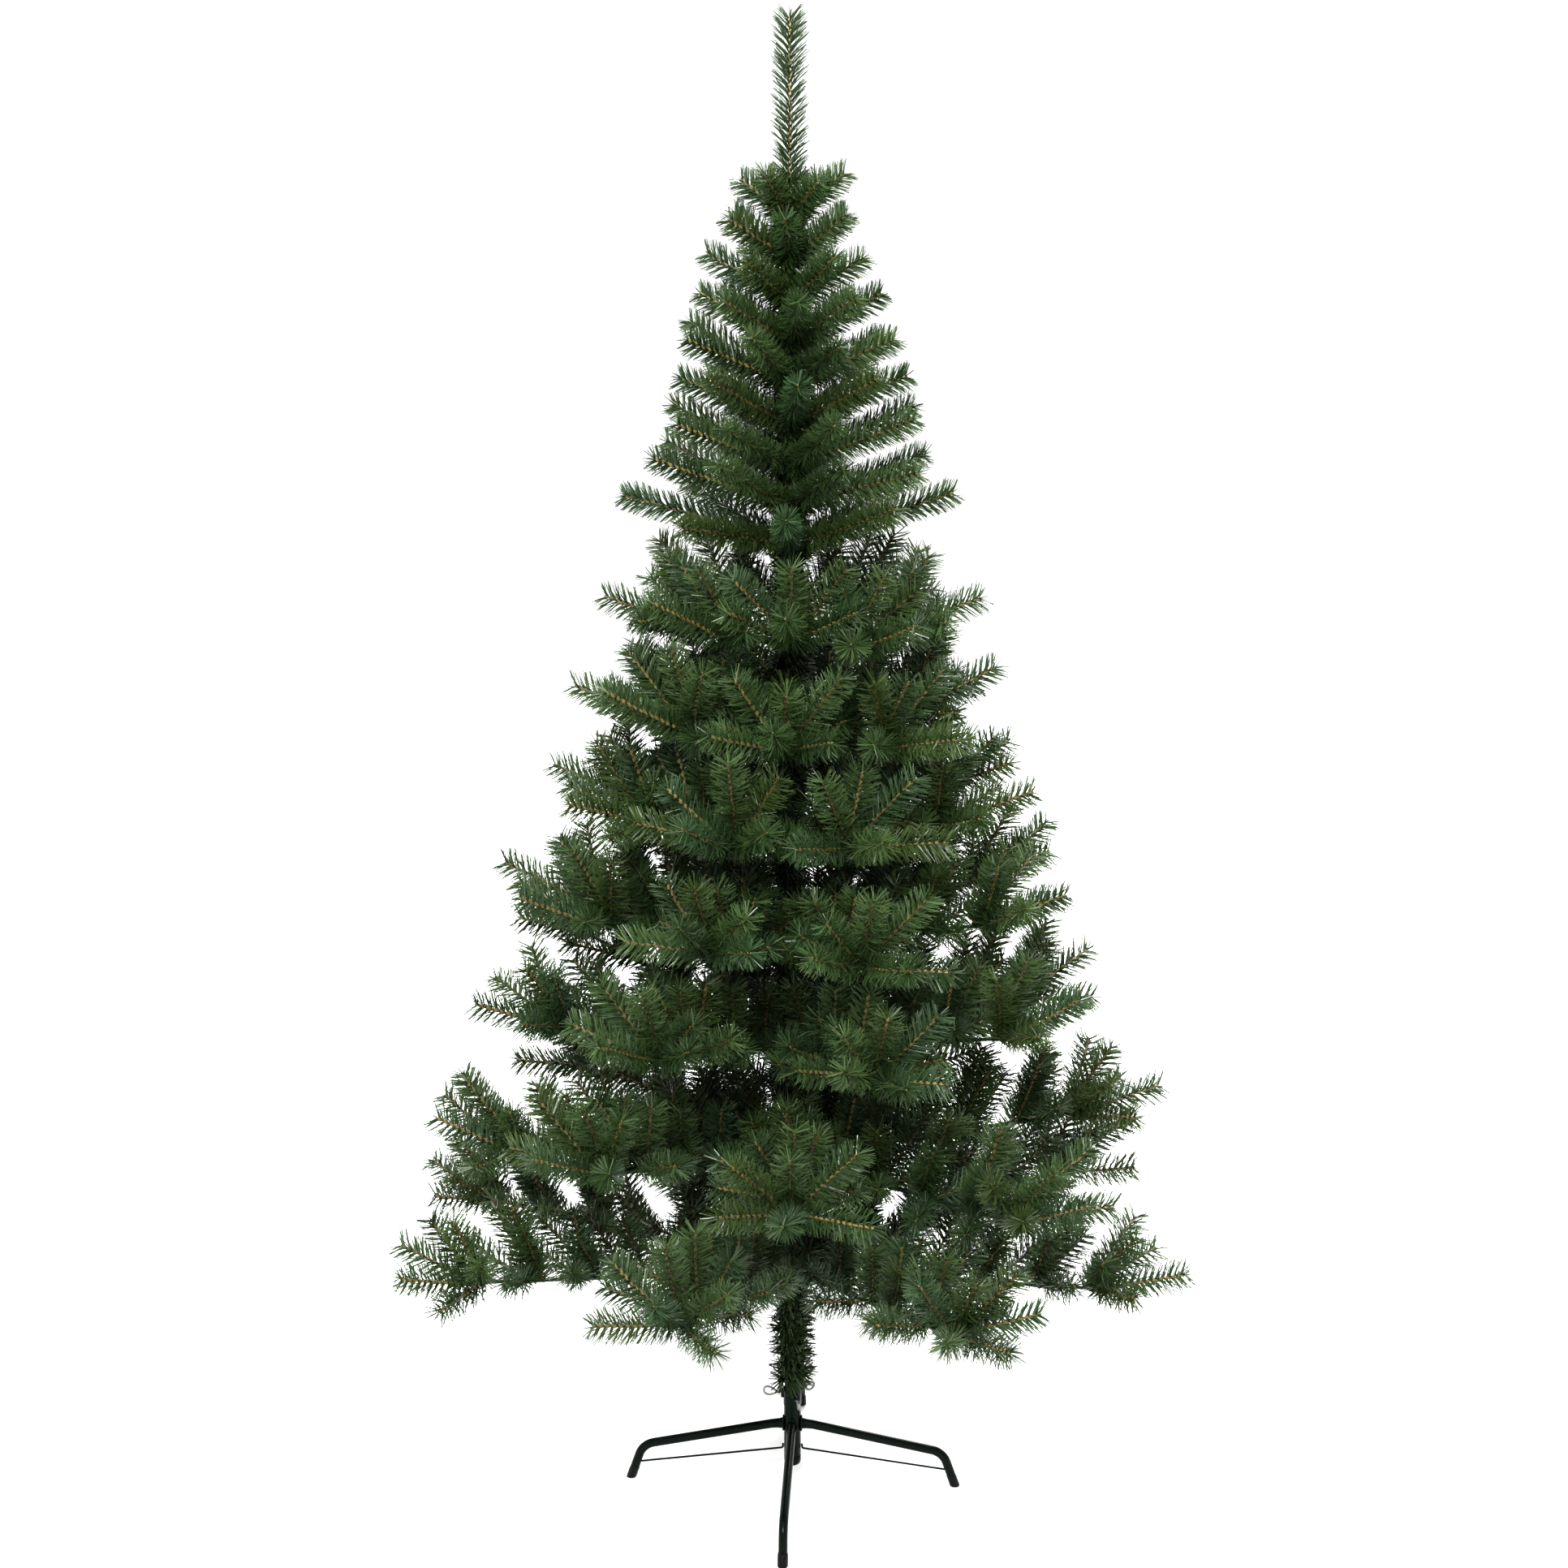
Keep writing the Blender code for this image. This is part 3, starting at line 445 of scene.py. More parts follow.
near = root_x + BRACE_RADIUS
brace_route = [Vector((near, 0, BRACE_Z + BRACE_HOOK))]
for step in range(7):
    angle = math.radians(90 * step / 6)
    out = BRACE_BEND * (1 - math.cos(angle))
    up = BRACE_BEND * (1 - math.sin(angle))
    brace_route.append(Vector((near + out, 0, BRACE_Z + up)))
brace_route.append(BRACE_END + (BRACE_END - brace_route[-1]).normalized() * BRACE_WELD)
bent_wire(brace_route, BRACE_RADIUS, 4)
brace = settled("brace", stand_paint, 50)
for number in range(LEGS):
    piece = turned_copy(brace, f"stand_brace_{number + 1}", STAND_TURN + 360 / LEGS * number)
    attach(piece, "root")
    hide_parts(f"brace_{number + 1}")
bpy.data.objects.remove(brace)

# Eye bolts: zinc plated steel wire, screwed through the collar's nuts to clamp the pole. The outer end
# is bent round into a long eye to turn the bolt by.
ZINC = (0.24, 0.24, 0.225)
ZINC_CLOUDS = 350.0
ZINC_TONE = (0.75, 1.15)  # shares of the colour
ZINC_ROUGHNESS = (0.22, 0.40)
zinc = bpy.data.materials.new("zinc_plate")
zinc.use_nodes = True
zinc_nodes = zinc.node_tree.nodes
zinc_links = zinc.node_tree.links
zinc_shader = zinc_nodes["Principled BSDF"]
zinc_shader.inputs["Metallic"].default_value = 1.0
zinc_where = zinc_nodes.new("ShaderNodeTexCoord")
zinc_cloud = zinc_nodes.new("ShaderNodeTexNoise")
zinc_cloud.inputs["Scale"].default_value = ZINC_CLOUDS
zinc_tone = zinc_nodes.new("ShaderNodeValToRGB")
for end, share in zip(zinc_tone.color_ramp.elements, ZINC_TONE):
    end.color = (*[channel * share for channel in ZINC], 1)
zinc_gloss = zinc_nodes.new("ShaderNodeMapRange")
zinc_gloss.inputs["To Min"].default_value = ZINC_ROUGHNESS[0]
zinc_gloss.inputs["To Max"].default_value = ZINC_ROUGHNESS[1]
zinc_links.new(zinc_where.outputs["Object"], zinc_cloud.inputs["Vector"])
zinc_links.new(zinc_cloud.outputs["Fac"], zinc_tone.inputs["Fac"])
zinc_links.new(zinc_cloud.outputs["Fac"], zinc_gloss.inputs["Value"])
zinc_links.new(zinc_tone.outputs["Color"], zinc_shader.inputs["Base Color"])
zinc_links.new(zinc_gloss.outputs["Result"], zinc_shader.inputs["Roughness"])
BOLT_WIRE = 0.0014
BOLT_SHANK = 0.009
EYE_START = 0.002  # the shank's last stretch, in which the wire starts to bend
EYE_LENGTH = 0.017
EYE_HALF_HEIGHT = 0.0052
EYE_FULLNESS = 1.3
EYE_SHIFT = 0.0024
begin = COLLAR_RADIUS + GAP
neck = begin + BOLT_SHANK
bolt_route = [Vector((begin, 0, BOLT_Z)), Vector((neck - EYE_START, 0, BOLT_Z))]
eye_steps = 36
for step in range(1, eye_steps + 1):
    angle = math.tau * step / eye_steps
    distance = neck + EYE_LENGTH * (1 - math.cos(angle)) / 2
    height = EYE_HALF_HEIGHT * math.sin(angle) * math.sin(angle / 2) * EYE_FULLNESS
    shift = EYE_SHIFT * (step / eye_steps) ** 2
    bolt_route.append(Vector((distance, shift, BOLT_Z + height)))
bent_wire(bolt_route, BOLT_WIRE, 5)
bolt = settled("eye_bolt", zinc, 60)
for number, turn in enumerate(BOLT_TURNS):
    piece = turned_copy(bolt, f"clamp_bolt_{number + 1}", turn)
    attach(piece, "root")
    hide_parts(f"eye_bolt_{number + 1}")
bpy.data.objects.remove(bolt)

# Pole: two steel tubes in the stand's paint, the upper one slimmer and pushed into the lower. It stands
# in the post, and every bough hangs on it.
POLE_JOINT_Z = 1.150
UPPER_POLE_RADIUS = 0.0075
LEADER_Z = 1.612
turned(
    [
        (POLE_RADIUS, POST_TOP_Z - BORE_DEPTH),
        (POLE_RADIUS, POLE_JOINT_Z - 0.0008),
        (POLE_RADIUS - 0.0008, POLE_JOINT_Z),
        (UPPER_POLE_RADIUS + 0.0002, POLE_JOINT_Z),
        (UPPER_POLE_RADIUS, POLE_JOINT_Z + 0.0005),
        (UPPER_POLE_RADIUS, LEADER_Z - 0.0006),
        (UPPER_POLE_RADIUS - 0.0006, LEADER_Z),
    ],
    32,
)
pole = settled("pole_tube", stand_paint, 30)
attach(pole, "root")
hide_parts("pole")

# Branching rule of the crown, as the solids have it: a tier of eight boughs, each with forks counted from
# its outer end, and a fan of sprays at each fork. The finer sprays that the solids leave out follow last.
BOUGHS = 8
UPPER_TIERS = 9
SPARSE_TIERS = 3
SPARSE_BOUGHS = 6
UPPER_TOP_Z = 1.568
UPPER_BOTTOM_Z = 1.197
UPPER_REACH = (0.062, 0.188)
UPPER_RISE = (38.0, 17.0)
UPPER_RISE_CURVE = 1.5
FRONT_TIERS = (2, 4, 6, 9)  # these have a bough to the front, the others straddle it
# Lower tiers: height at the pole, turn of the first bough, rise, reach, forks that the solids have
LOWER_TIERS = {
    1: (1.082, -90.0, 10.0, 0.228, 1),
    2: (0.964, -90.0, 10.0, 0.276, 2),
    3: (0.844, -20.0, 10.0, 0.314, 2),
    4: (0.718, -22.5, 11.0, 0.366, 2),
    5: (0.584, -28.5, 11.0, 0.408, 3),
    6: (0.440, -88.0, 11.0, 0.462, 3),
    7: (0.289, -18.5, 8.0, 0.504, 4),
}
LIMB_TIERS = (6, 7)  # the solids show their wires bare
# Boughs bent by hand: (tier, bough): (turn, rise, reach) added
BENT = {
    (1, 2): (0.0, 0.0, 0.020),
    (1, 5): (0.0, 0.0, 0.012),
    (2, 2): (0.0, 0.0, -0.020),
    (3, 0): (0.0, 0.0, -0.016),
    (4, 1): (0.0, 0.0, -0.010),
    (4, 4): (0.0, -6.0, 0.014),
    (5, 1): (0.0, 0.0, -0.004),
    (5, 4): (0.0, 3.0, 0.008),
    (6, 0): (0.0, 5.0, 0.0),
    (6, 1): (0.0, -7.0, 0.020),
    (6, 6): (14.0, -2.0, 0.012),
    (6, 7): (8.0, 0.0, 0.0),
    (7, 0): (0.0, 1.0, 0.0),
    (7, 4): (0.0, 0.0, 0.016),
    (7, 5): (0.0, -3.0, 0.026),
    (7, 6): (0.0, 11.0, -0.004),
    (7, 7): (0.0, 6.0, 0.0),
}
SPRAY_LENGTH = 0.115
FORK_SPACING = 0.066
INNERMOST_FORK = 0.080  # from the pole
HUB_FORK = 0.030  # the same on the bare limbs, which carry finer sprays up to the hub
FAN_STAGGER = 0.007
FINER_SETBACK = 0.004
INNER_SPRAY_SHARE = 0.92
LIFT_SHARE = 0.6
# Seeded scatter: either way in degrees, or as lowest and highest share
UPPER_SEED, BOUGH_SEED, FINER_SEED = 100, 1000, 5000
UPPER_TURN_SCATTER = 6.0
UPPER_RISE_SCATTER = 3.0
UPPER_SPAN_SCATTER = (0.94, 1.03)
BOUGH_TURN_SCATTER = 4.0
BOUGH_RISE_SCATTER = 4.5
BOUGH_SPRAY_SCATTER = (0.95, 1.08)
REACH_SCATTER = (0.97, 1.02)
FORK_SCATTER = (0.92, 1.10)
SPRAY_TURN_SCATTER = 11.0
SPRAY_RISE_SCATTER = 10.0
SPRAY_SPAN_SCATTER = (0.88, 1.06)
# Sprays of each fork, counted from the bough's end: degrees to the side of the bough and above it
FANS = {
    0: ((0, 18), (-48, 12), (46, 6), (4, 54)),
    1: ((-58, 16), (10, 62)),
    2: ((56, 20),),
    3: ((-40, 52),),
}
FINER_FANS = {
    0: ((-62, 44), (60, 38)),
    1: ((56, 14), (-42, 50), (46, 52)),
    2: ((-56, 14), (-8, 66), (-32, 46), (34, 54)),
    3: ((54, 18), (-58, 14), (34, 58)),
    4: ((-52, 24), (52, 28), (-14, 64), (34, 60)),
}


def heading(azimuth, rise):
    """Unit vector at these angles, in degrees, from +X and from the floor."""
    turn = math.radians(azimuth)
    lift = math.radians(rise)
    return Vector((math.cos(turn) * math.cos(lift), math.sin(turn) * math.cos(lift), math.sin(lift)))


def upper_sprays(tier):
    """One spray per bough of an upper tier: root, direction, length."""
    down = (tier - 1) / (UPPER_TIERS - 1)
    height = UPPER_TOP_Z - (UPPER_TOP_Z - UPPER_BOTTOM_Z) * down
    reach = UPPER_REACH[0] + (UPPER_REACH[1] - UPPER_REACH[0]) * down
    rise = UPPER_RISE[1] + (UPPER_RISE[0] - UPPER_RISE[1]) * (1 - down) ** UPPER_RISE_CURVE
    boughs = SPARSE_BOUGHS if tier <= SPARSE_TIERS else BOUGHS
    first = -90 if tier in FRONT_TIERS else -90 + 180 / boughs
    chance = random.Random(UPPER_SEED + tier)
    sprays = []
    for bough in range(boughs):
        turn = first + 360 / boughs * bough + chance.uniform(-UPPER_TURN_SCATTER, UPPER_TURN_SCATTER)
        lift = rise + chance.uniform(-UPPER_RISE_SCATTER, UPPER_RISE_SCATTER)
        span = reach / math.cos(math.radians(lift)) * chance.uniform(*UPPER_SPAN_SCATTER)
        sprays.append((Vector((0, 0, height)), heading(turn, lift), span))
    return sprays


def fan_spray(chance, turn, lift, side, up, spray, fork, root):
    """One spray of a fan: its root, direction and length, scattered by the bough's own generator."""
    side += chance.uniform(-SPRAY_TURN_SCATTER, SPRAY_TURN_SCATTER)
    rise = lift * LIFT_SHARE + up + chance.uniform(-SPRAY_RISE_SCATTER, SPRAY_RISE_SCATTER)
    share = 1.0 if fork == 0 else INNER_SPRAY_SHARE
    return root, heading(turn + side, rise), spray * share * chance.uniform(*SPRAY_SPAN_SCATTER)


def bough_plan(tier, bough):
    """Start and direction of a bough, the distances of its forks along it, and its sprays."""
    height, first, rise, reach, bearing = LOWER_TIERS[tier]
    turn_more, rise_more, reach_more = BENT.get((tier, bough), (0.0, 0.0, 0.0))
    chance = random.Random(BOUGH_SEED + 10 * tier + bough)
    turn = first + 360 / BOUGHS * bough + turn_more
    turn += chance.uniform(-BOUGH_TURN_SCATTER, BOUGH_TURN_SCATTER)
    lift = rise + rise_more + chance.uniform(-BOUGH_RISE_SCATTER, BOUGH_RISE_SCATTER)
    spray = SPRAY_LENGTH * chance.uniform(*BOUGH_SPRAY_SCATTER)
    end = reach * chance.uniform(*REACH_SCATTER) + reach_more - spray
    start = Vector((0, 0, height))
    along = heading(turn, lift)
    slant = math.cos(math.radians(lift))
    forks = []
    while end > INNERMOST_FORK and len(forks) < bearing:
        forks.append(end / slant)
        end -= FORK_SPACING * chance.uniform(*FORK_SCATTER)
    sprays = []
    for fork, distance in enumerate(forks):
        for number, (side, up) in enumerate(FANS[fork]):
            root = start + along * (distance - FAN_STAGGER * number)
            sprays.append(fan_spray(chance, turn, lift, side, up, spray, fork, root))
    finer = random.Random(FINER_SEED + 10 * tier + bough)
    while end > (HUB_FORK if tier in LIMB_TIERS else INNERMOST_FORK):
        forks.append(end / slant)
        end -= FORK_SPACING * finer.uniform(*FORK_SCATTER)
    for fork, distance in enumerate(forks):
        fans = FINER_FANS[min(fork, max(FINER_FANS))]
        if fork >= bearing:
            fans = fans + FANS.get(fork, ())
        for number, (side, up) in enumerate(fans):
            root = start + along * (distance - FAN_STAGGER * (number + 0.5) - FINER_SETBACK)
            sprays.append(fan_spray(finer, turn, lift, side, up, spray, fork, root))
    return start, along, forks, sprays


# Hubs: moulded rings pushed on the pole, one to a tier, in the pole's green. Each has a lug for every
# bough's hook.
HUB_RADIUS = 0.0128
HUB_HEIGHT = 0.016
HUB_ROUNDING = 0.0012
LUG_SIZE = (0.0060, 0.0070, 0.0120)
LUG_OUT = 0.0018  # of its middle, past the ring
LUG_ROUNDING = 0.0010
bpy.ops.object.select_all(action="DESELECT")
bpy.ops.mesh.primitive_cylinder_add(vertices=32, radius=HUB_RADIUS, depth=HUB_HEIGHT, location=(0, 0, 0))
bpy.ops.object.mode_set(mode="EDIT")
bpy.ops.mesh.bevel(offset=HUB_ROUNDING, segments=2, affect="EDGES")
bpy.ops.object.mode_set(mode="OBJECT")
ring = settled("hub_ring", stand_paint, 40)
parts = [ring]
for lug in range(BOUGHS):
    bpy.ops.object.select_all(action="DESELECT")
    bpy.ops.mesh.primitive_cube_add(size=1, location=(HUB_RADIUS + LUG_OUT, 0, 0))
    bpy.ops.transform.resize(value=LUG_SIZE)
    bpy.ops.object.mode_set(mode="EDIT")
    bpy.ops.mesh.bevel(offset=LUG_ROUNDING, segments=2, affect="EDGES")
    bpy.ops.object.mode_set(mode="OBJECT")
    block = settled("lug", stand_paint, 40)
    block.data.transform(Matrix.Rotation(math.tau * lug / BOUGHS, 4, "Z"))
    parts.append(block)
for piece in parts:
    piece.select_set(True)
bpy.context.view_layer.objects.active = ring
bpy.ops.object.join()
for tier, (height, first, rise, reach, bearing) in LOWER_TIERS.items():
    piece = turned_copy(ring, f"bough_hub_{tier}", first)
    piece.data.transform(Matrix.Translation((0, 0, height)))
    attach(piece, "root")
bpy.data.objects.remove(ring)

# Boughs: steel wire wound with a strip of blackish green plastic film. The strip's overlap makes a low
# spiral step along the wire, and at each fork the wound ends of the sprays' wires thicken it.
BOUGH_RADIUS = (0.0028, 0.0019)
WOUND_PITCH = 0.0075
WOUND_STEP = 0.13  # height of the overlap, as a share of the radius
FORK_SWELL = 0.55
FORK_LENGTH = 0.012
PAST_FORK = 0.004  # of the wire's end, past its outermost fork
BOUGH_SIDES = 10
RING_STEP = WOUND_PITCH / 4
WOUND_FILM = (0.009, 0.017, 0.010)
WOUND_ROUGHNESS = 0.38
WOUND_GRAIN = 1500.0
WOUND_DEPTH = 0.00008
wound = painted_steel("wound_film", WOUND_FILM, WOUND_ROUGHNESS, WOUND_GRAIN, WOUND_DEPTH)
plans = {(tier, bough): bough_plan(tier, bough) for tier in LOWER_TIERS for bough in range(BOUGHS)}


def triangle_mesh(name, points, faces, material, smooth):
    """One mesh from an array of points and an array of triangles."""
    made = bpy.data.meshes.new(name)
    made.vertices.add(len(points))
    made.vertices.foreach_set("co", np.asarray(points, np.float32).ravel())
    made.loops.add(faces.size)
    made.loops.foreach_set("vertex_index", np.asarray(faces, np.int32).ravel())
    made.polygons.add(len(faces))
    made.polygons.foreach_set("loop_start", np.arange(0, faces.size, 3, dtype=np.int32))
    made.polygons.foreach_set("use_smooth", np.full(len(faces), smooth))
    made.update(calc_edges=True)
    made.materials.append(material)
    piece = bpy.data.objects.new(name, made)
    bpy.context.scene.collection.objects.link(piece)
    return piece


def joined(name, shapes, material, smooth):
    """Many (points, triangles) shapes as one piece."""
    counts = np.cumsum([0] + [len(points) for points, faces in shapes])
    points = np.concatenate([points for points, faces in shapes])
    faces = np.concatenate([faces + start for (_, faces), start in zip(shapes, counts)])
    return triangle_mesh(name, points, faces, material, smooth)


def frames_along(line):
    """Unit tangent, across and over at each point of a line, the last two turned as little as may be."""
    tangents = np.gradient(line, axis=0)
    tangents /= np.linalg.norm(tangents, axis=1)[:, None]
    helper = np.array([0.0, 0.0, 1.0]) if abs(tangents[0, 2]) < 0.95 else np.array([1.0, 0.0, 0.0])
    across = np.cross(tangents, helper)
    across /= np.linalg.norm(across, axis=1)[:, None]
    return tangents, across, np.cross(tangents, across)


def tube(line, radii):
    """(points, triangles) of a closed tube along a line; radii holds a row of corner distances per ring."""
    rings, sides = radii.shape
    tangents, across, over = frames_along(line)
    angles = np.arange(sides) * math.tau / sides
    spokes = across[:, None] * np.cos(angles)[None, :, None]
    spokes = spokes + over[:, None] * np.sin(angles)[None, :, None]
    points = (line[:, None] + spokes * radii[:, :, None]).reshape(-1, 3)
    low = np.arange(rings - 1)[:, None] * sides + np.arange(sides)[None]
    after = np.arange(rings - 1)[:, None] * sides + (np.arange(sides)[None] + 1) % sides
    quads = np.stack([low, after, after + sides, low, after + sides, low + sides], axis=-1)
    faces = [quads.reshape(-1, 3)]
    for ring, turn in ((0, -1), (rings - 1, 1)):
        first = ring * sides
        fan = [(first, first + corner, first + corner + 1)[::turn] for corner in range(1, sides - 1)]
        faces.append(np.array(fan))
    return points, np.concatenate(faces)


def wound_wire(start, along, length, forks):
    """A bough: a tapering wire with the step of its winding and a swelling at each fork."""
    count = int(length / RING_STEP)
    distances = np.linspace(0.0, length, count)
    line = np.array(start) + np.outer(distances, np.array(along))
    share = distances / length
    thick = BOUGH_RADIUS[0] + (BOUGH_RADIUS[1] - BOUGH_RADIUS[0]) * share
    for fork in forks:
        thick = thick * (1 + FORK_SWELL * np.exp(-(((distances + fork[0] - fork[1]) / FORK_LENGTH) ** 2)))
    corners = np.arange(BOUGH_SIDES) / BOUGH_SIDES
    phase = (corners[None] + distances[:, None] / WOUND_PITCH) % 1.0
    return tube(line, thick[:, None] * (1 + WOUND_STEP * phase))


for tier in LOWER_TIERS:
    wires = []
    for bough in range(BOUGHS):
        start, along, forks, sprays = plans[tier, bough]
        inset = HUB_RADIUS / math.hypot(along.x, along.y)
        length = forks[0] + PAST_FORK - inset
        wires.append(wound_wire(start + along * inset, along, length, [(inset, fork) for fork in forks]))
    piece = joined(f"bough_wires_{tier}", wires, wound, True)
    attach(piece, "root")
    if tier in LIMB_TIERS:
        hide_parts(*[f"bough_{tier}_{bough + 1}" for bough in range(BOUGHS)])

# Spray cores: two thin wires twisted together round the roots of the needles, which bulge out between them
# as a row of golden brown beads.
TWIST_PITCH = 0.017
CORE_RADIUS = (0.0014, 0.0025)  # in the waists and at the beads
CORE_SIDES = 3
CORE_STEP = TWIST_PITCH / 4
CORE_TONES = ((0.135, 0.103, 0.036), (0.095, 0.075, 0.027))
CORE_ROUGHNESS = 0.45
TIP_SHORT = 0.005  # needles stand this far past the end of their core
SPRAY_CURL = 0.05
CURL_RANGE = (-0.3, 1.0)  # shares of it, downwards and upwards
SIDE_CURL = 0.4  # share of it
LEAST_RINGS = 6
NEEDLE_SEED = 71
sprays = []
for (tier, bough), plan in sorted(plans.items()):
    sprays += plan[3]
first_upper = len(sprays)
for tier in range(1, UPPER_TIERS + 1):
    sprays += upper_sprays(tier)
chance = np.random.default_rng(NEEDLE_SEED)


def spray_line(root, aim, span, steps):
    """Points along a spray's core, which bends up a little towards its end."""
    lift = np.array([0.0, 0.0, SPRAY_CURL * chance.uniform(*CURL_RANGE)])
    side = chance.normal(0.0, SPRAY_CURL * SIDE_CURL, 3)
    share = np.linspace(0.0, 1.0, steps)
    core = span - TIP_SHORT
    straight = np.array(root) + np.outer(share * core, np.array(aim))
    return straight + np.outer(share**2 * core, lift + side)


def beaded_core(line):
    """A core: a three-sided rod, thick at every second ring."""
    radii = np.where(np.arange(len(line)) % 2 == 1, CORE_RADIUS[1], CORE_RADIUS[0])
    radii[-1] = CORE_RADIUS[0] / 2
    return tube(line, np.repeat(radii[:, None], CORE_SIDES, axis=1))


lines = []
for root, aim, span in sprays:
    steps = max(LEAST_RINGS, int((span - TIP_SHORT) / CORE_STEP))
    lines.append(spray_line(root, aim, span, steps))
masses = [f"mass_{tier}_{bough + 1}" for tier in LIMB_TIERS for bough in range(BOUGHS)]
masses += [f"whorl_mass_{tier}" for tier in LOWER_TIERS if tier not in LIMB_TIERS]
masses += [f"upper_mass_{group}" for group in (1, 2, 3)]
for tone, colour in enumerate(CORE_TONES):
    twisted = bpy.data.materials.new(f"twisted_wire_{tone + 1}")
    twisted.use_nodes = True
    shader = twisted.node_tree.nodes["Principled BSDF"]
    shader.inputs["Base Color"].default_value = (*colour, 1)
    shader.inputs["Roughness"].default_value = CORE_ROUGHNESS
    cores = [beaded_core(line) for number, line in enumerate(lines) if number % 2 == tone]
    piece = joined(f"spray_cores_{tone + 1}", cores, twisted, False)
    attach(piece, "root")

# Needles: thin strips cut from green plastic film and caught in the twist. They stand out of the core in
# small two-sided tufts, each tuft turned on from the last, and lean to the tip. Each spray is of one film.
NEEDLE_LENGTH = 0.0262
NEEDLE_WIDTH = 0.0017
NEEDLE_TIP = 0.45  # width of a needle's end, against its root
LENGTH_SCATTER = (0.86, 1.06)
WIDTH_SCATTER = (0.85, 1.15)
TUFT_STEP = TWIST_PITCH / 8
TUFT_TURN = math.radians(47)  # from each tuft to the next
TUFT_ROLL = math.radians(12)
ALONG_SCATTER = 0.10 * TUFT_STEP
SPRAY_TURN = 1.7  # radians from the first tuft of one spray to that of the next
TUFT_NEEDLES = 7
UPPER_NEEDLES = 10
UPPER_LENGTH = 0.0235
UPPER_SCATTER = math.radians(21)
LEAN = math.radians(57)
LEAN_SCATTER = math.radians(3.5)
TURN_SCATTER = math.radians(13)
ROLL_SCATTER = math.radians(30)
TIP_LENGTH = 0.020  # over this stretch the needles get shorter and close up
TIP_SHARE = 0.72  # length of the last needles, against the others
TIP_LEAN = 0.12  # share by which they close up
FILM_ROUGHNESS = 0.33
FILM_IOR = 1.40
FILMS = (
    (0.028, 0.053, 0.016),
    (0.037, 0.065, 0.021),
    (0.021, 0.041, 0.013),
    (0.043, 0.073, 0.024),
    (0.029, 0.056, 0.022),
    (0.032, 0.053, 0.014),
)


def needle_shapes(
    line,
    start=0.0,
    number=TUFT_NEEDLES,
    length=NEEDLE_LENGTH,
    width=NEEDLE_WIDTH,
    lean=LEAN,
    scatter=TURN_SCATTER,
):
    """(points, triangles) of the needles along one core, each a narrowing strip of two triangles."""
    lengths = np.concatenate([[0.0], np.cumsum(np.linalg.norm(np.diff(line, axis=0), axis=1))])
    core = lengths[-1]
    tufts = int(core / TUFT_STEP)
    count = tufts * number
    tuft = np.repeat(np.arange(tufts), number)
    at = (tuft + 0.5) * TUFT_STEP + chance.normal(0.0, ALONG_SCATTER, count)
    tangents, across, over = frames_along(line)

    def read(values):
        return np.stack([np.interp(at, lengths, values[:, axis]) for axis in range(3)], axis=1)

    foot = read(line)
    ahead = read(tangents)
    ahead /= np.linalg.norm(ahead, axis=1)[:, None]
    side = np.tile(np.arange(number) % 2, tufts) * math.pi
    turn = start + tuft * TUFT_TURN + side + chance.normal(0.0, scatter, count)
    spoke = read(across) * np.cos(turn)[:, None] + read(over) * np.sin(turn)[:, None]
    end = np.clip((at - (core - TIP_LENGTH)) / TIP_LENGTH, 0.0, 1.0)
    angle = lean * (1 - TIP_LEAN * end**2) + chance.normal(0.0, LEAN_SCATTER, count)
    reach = (length * (1 - (1 - TIP_SHARE) * end**1.5) * chance.uniform(*LENGTH_SCATTER, count))[:, None]
    needle = ahead * np.cos(angle)[:, None] + spoke * np.sin(angle)[:, None]
    flat = np.cross(needle, ahead)
    flat /= np.linalg.norm(flat, axis=1)[:, None]
    roll = chance.normal(0.0, TUFT_ROLL, tufts)[tuft] + chance.normal(0.0, ROLL_SCATTER, count)
    roll = roll[:, None]
    broad = np.cross(needle, flat) * np.cos(roll) + flat * np.sin(roll)
    half = broad * (width / 2 * chance.uniform(*WIDTH_SCATTER, count))[:, None]
    tip = foot + needle * reach
    points = np.stack([foot - half, foot + half, tip + half * NEEDLE_TIP, tip - half * NEEDLE_TIP], axis=1)
    faces = np.arange(count)[:, None, None] * 4 + np.array([[0, 1, 2], [0, 2, 3]])[None]
    return points.reshape(-1, 3), faces.reshape(-1, 3)


films = []
for shade, colour in enumerate(FILMS):
    film = bpy.data.materials.new(f"needle_film_{shade + 1}")
    film.use_nodes = True
    shader = film.node_tree.nodes["Principled BSDF"]
    shader.inputs["Base Color"].default_value = (*colour, 1)
    shader.inputs["Roughness"].default_value = FILM_ROUGHNESS
    shader.inputs["IOR"].default_value = FILM_IOR
    films.append(film)
    brushes = []
    for number, line in enumerate(lines):
        if number % len(FILMS) != shade:
            continue
        start = number * SPRAY_TURN
        if number < first_upper:
            brushes.append(needle_shapes(line, start))
        else:
            brushes.append(needle_shapes(line, start, UPPER_NEEDLES, UPPER_LENGTH, scatter=UPPER_SCATTER))
    piece = joined(f"needles_{shade + 1}", brushes, film, False)
    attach(piece, "root")
    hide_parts(*masses)

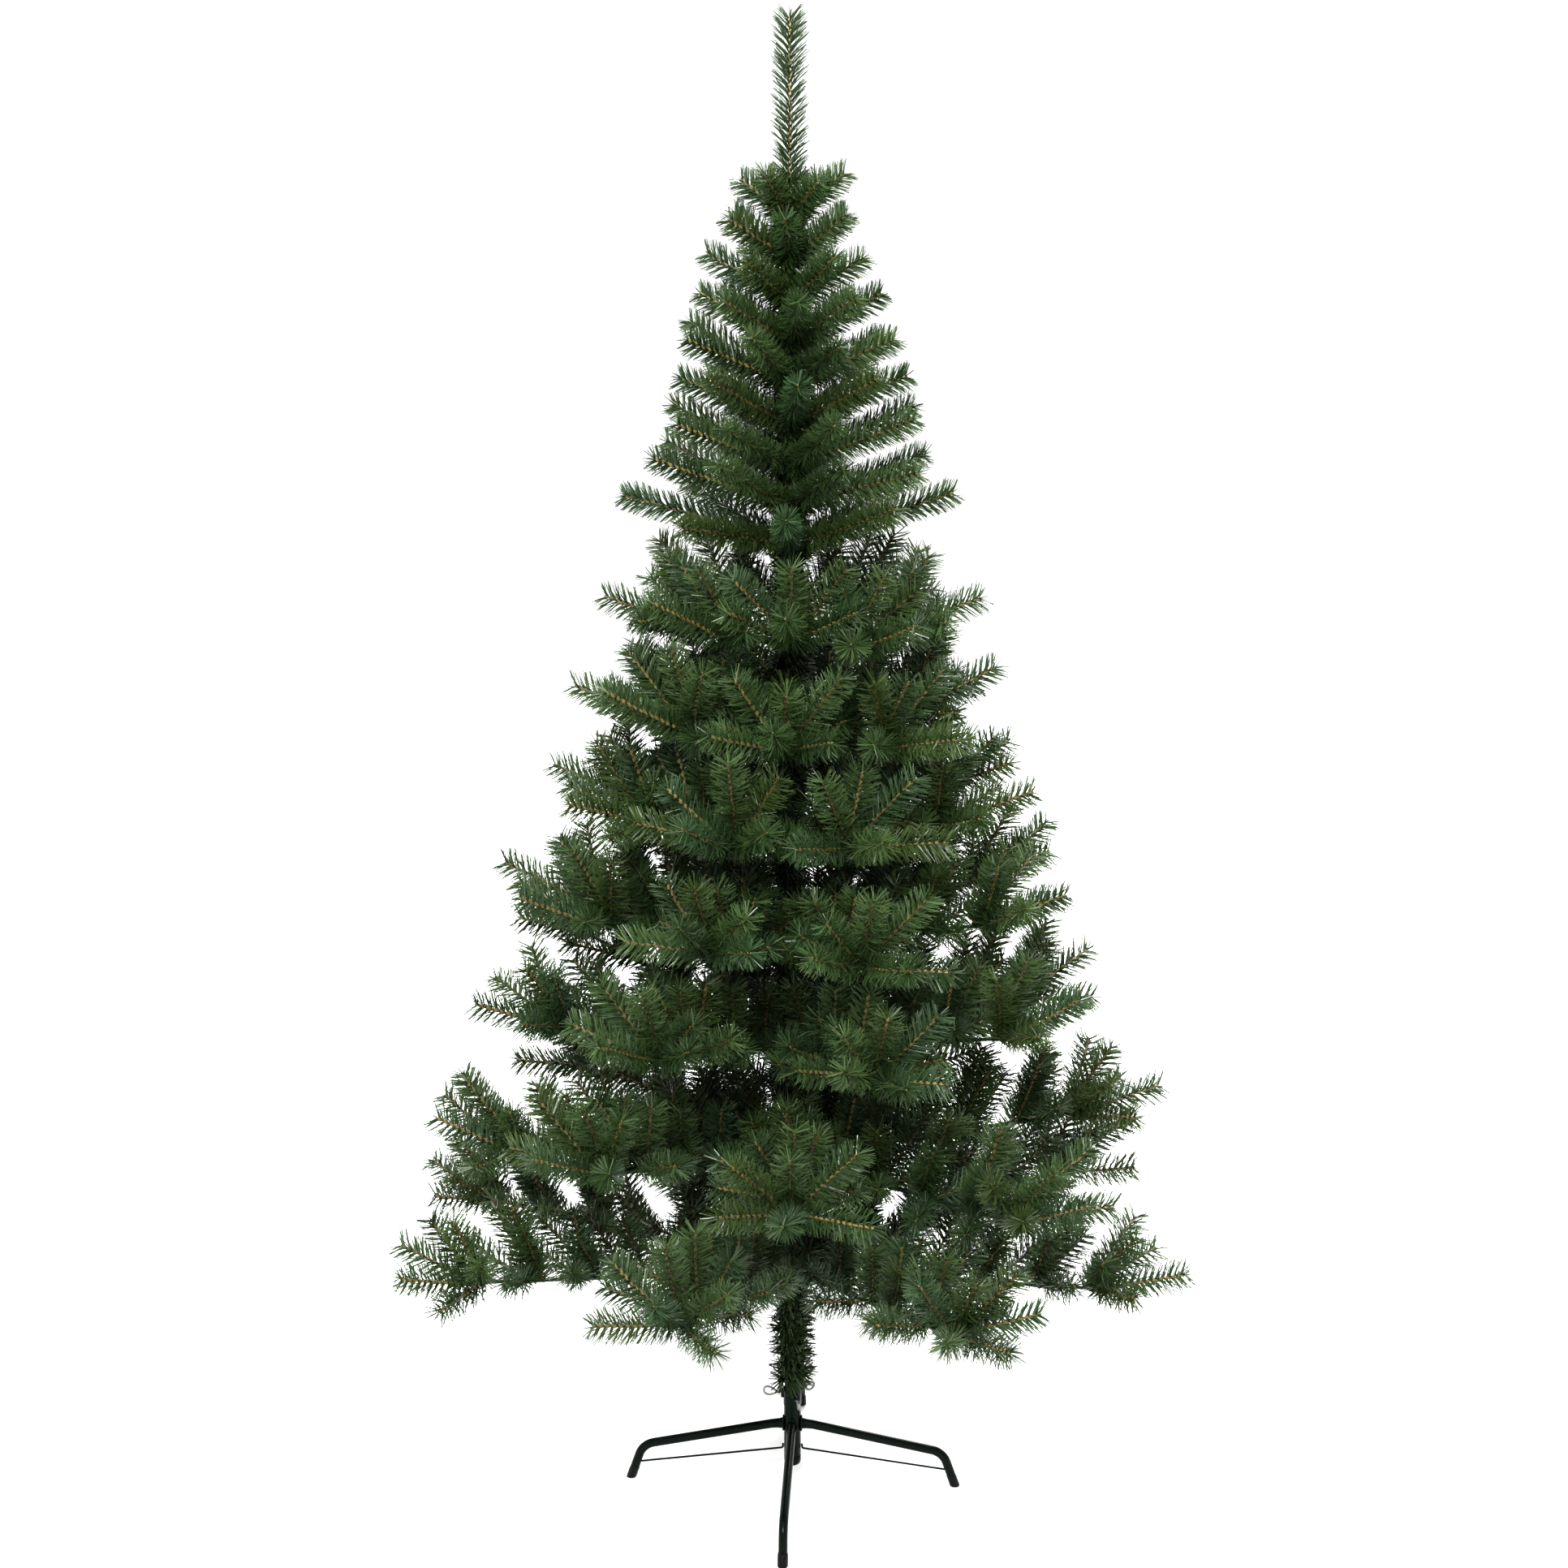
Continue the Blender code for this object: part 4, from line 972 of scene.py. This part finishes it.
# Leader: the upright spray on top, plugged into the end of the pole. Its core is longer than a spray's,
# and its needles lean more and stand closer.
LEADER_SUNK = 0.03  # in the pole
LEADER_SHORT = 0.0145  # the last needles stand this far past the core
LEADER_RINGS = 78
LEADER_NEEDLES = 8
LEADER_LEAN = math.radians(50)
leader_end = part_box("leader")[1].z - LEADER_SHORT
leader_line = np.linspace((0.0, 0.0, LEADER_Z - LEADER_SUNK), (0.0, 0.0, leader_end), LEADER_RINGS)
leader_brush = needle_shapes(leader_line, number=LEADER_NEEDLES, lean=LEADER_LEAN)
leader_needles = joined("leader_needles", [leader_brush], films[2], False)
leader_wire = bpy.data.materials["twisted_wire_1"]
leader_core = joined("leader_core", [beaded_core(leader_line)], leader_wire, False)
for piece, name in ((leader_needles, "needles"), (leader_core, "wrapped_wire")):
    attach(piece, "root")
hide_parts("leader")

# Garland: a strip of shorter needles wound round the pole in a close spiral from the stand to the leader.
# The film is the sprays' own, made a darker green, and the needles stand out every way in uneven clumps.
GARLAND_PITCH = 0.012
GARLAND_GAP = 0.0028  # of the strip's wire from the pole
GARLAND_NEEDLE = 0.0200
GARLAND_WIDTH = 0.0030
GARLAND_NEEDLES = 6
GARLAND_LEAN = math.radians(68)
GARLAND_SCATTER = math.radians(70)
GARLAND_RINGS = 20  # points of its line in each turn
GARLAND_FILM = (0.020, 0.037, 0.010)
CLUMP = 0.0012
garland_bottom = POST_TOP_Z + 0.004
turns = (LEADER_Z - garland_bottom) / GARLAND_PITCH
angles = np.linspace(0.0, turns * math.tau, int(turns * GARLAND_RINGS))
heights = garland_bottom + angles / math.tau * GARLAND_PITCH
clumps = CLUMP * np.sin(angles * 0.83) * np.sin(angles * 0.31 + 1.0)
radius = np.where(heights < POLE_JOINT_Z, POLE_RADIUS, UPPER_POLE_RADIUS) + GARLAND_GAP + clumps
garland_line = np.stack([radius * np.cos(angles), radius * np.sin(angles), heights], axis=1)
points, faces = needle_shapes(
    garland_line,
    number=GARLAND_NEEDLES,
    length=GARLAND_NEEDLE,
    width=GARLAND_WIDTH,
    lean=GARLAND_LEAN,
    scatter=GARLAND_SCATTER,
)
strips = points.reshape(-1, 4, 3)
clear = np.hypot(strips[:, 2, 0], strips[:, 2, 1]) > POLE_RADIUS + 0.001
strips = strips[clear]
faces = faces[: len(strips) * 2]
garland_film = films[2].copy()
garland_film.name = "garland_film"
garland_shader = garland_film.node_tree.nodes["Principled BSDF"]
garland_shader.inputs["Base Color"].default_value = (*GARLAND_FILM, 1)
garland = joined("pole_garland", [(strips.reshape(-1, 3), faces)], garland_film, False)
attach(garland, "root")
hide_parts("garland")
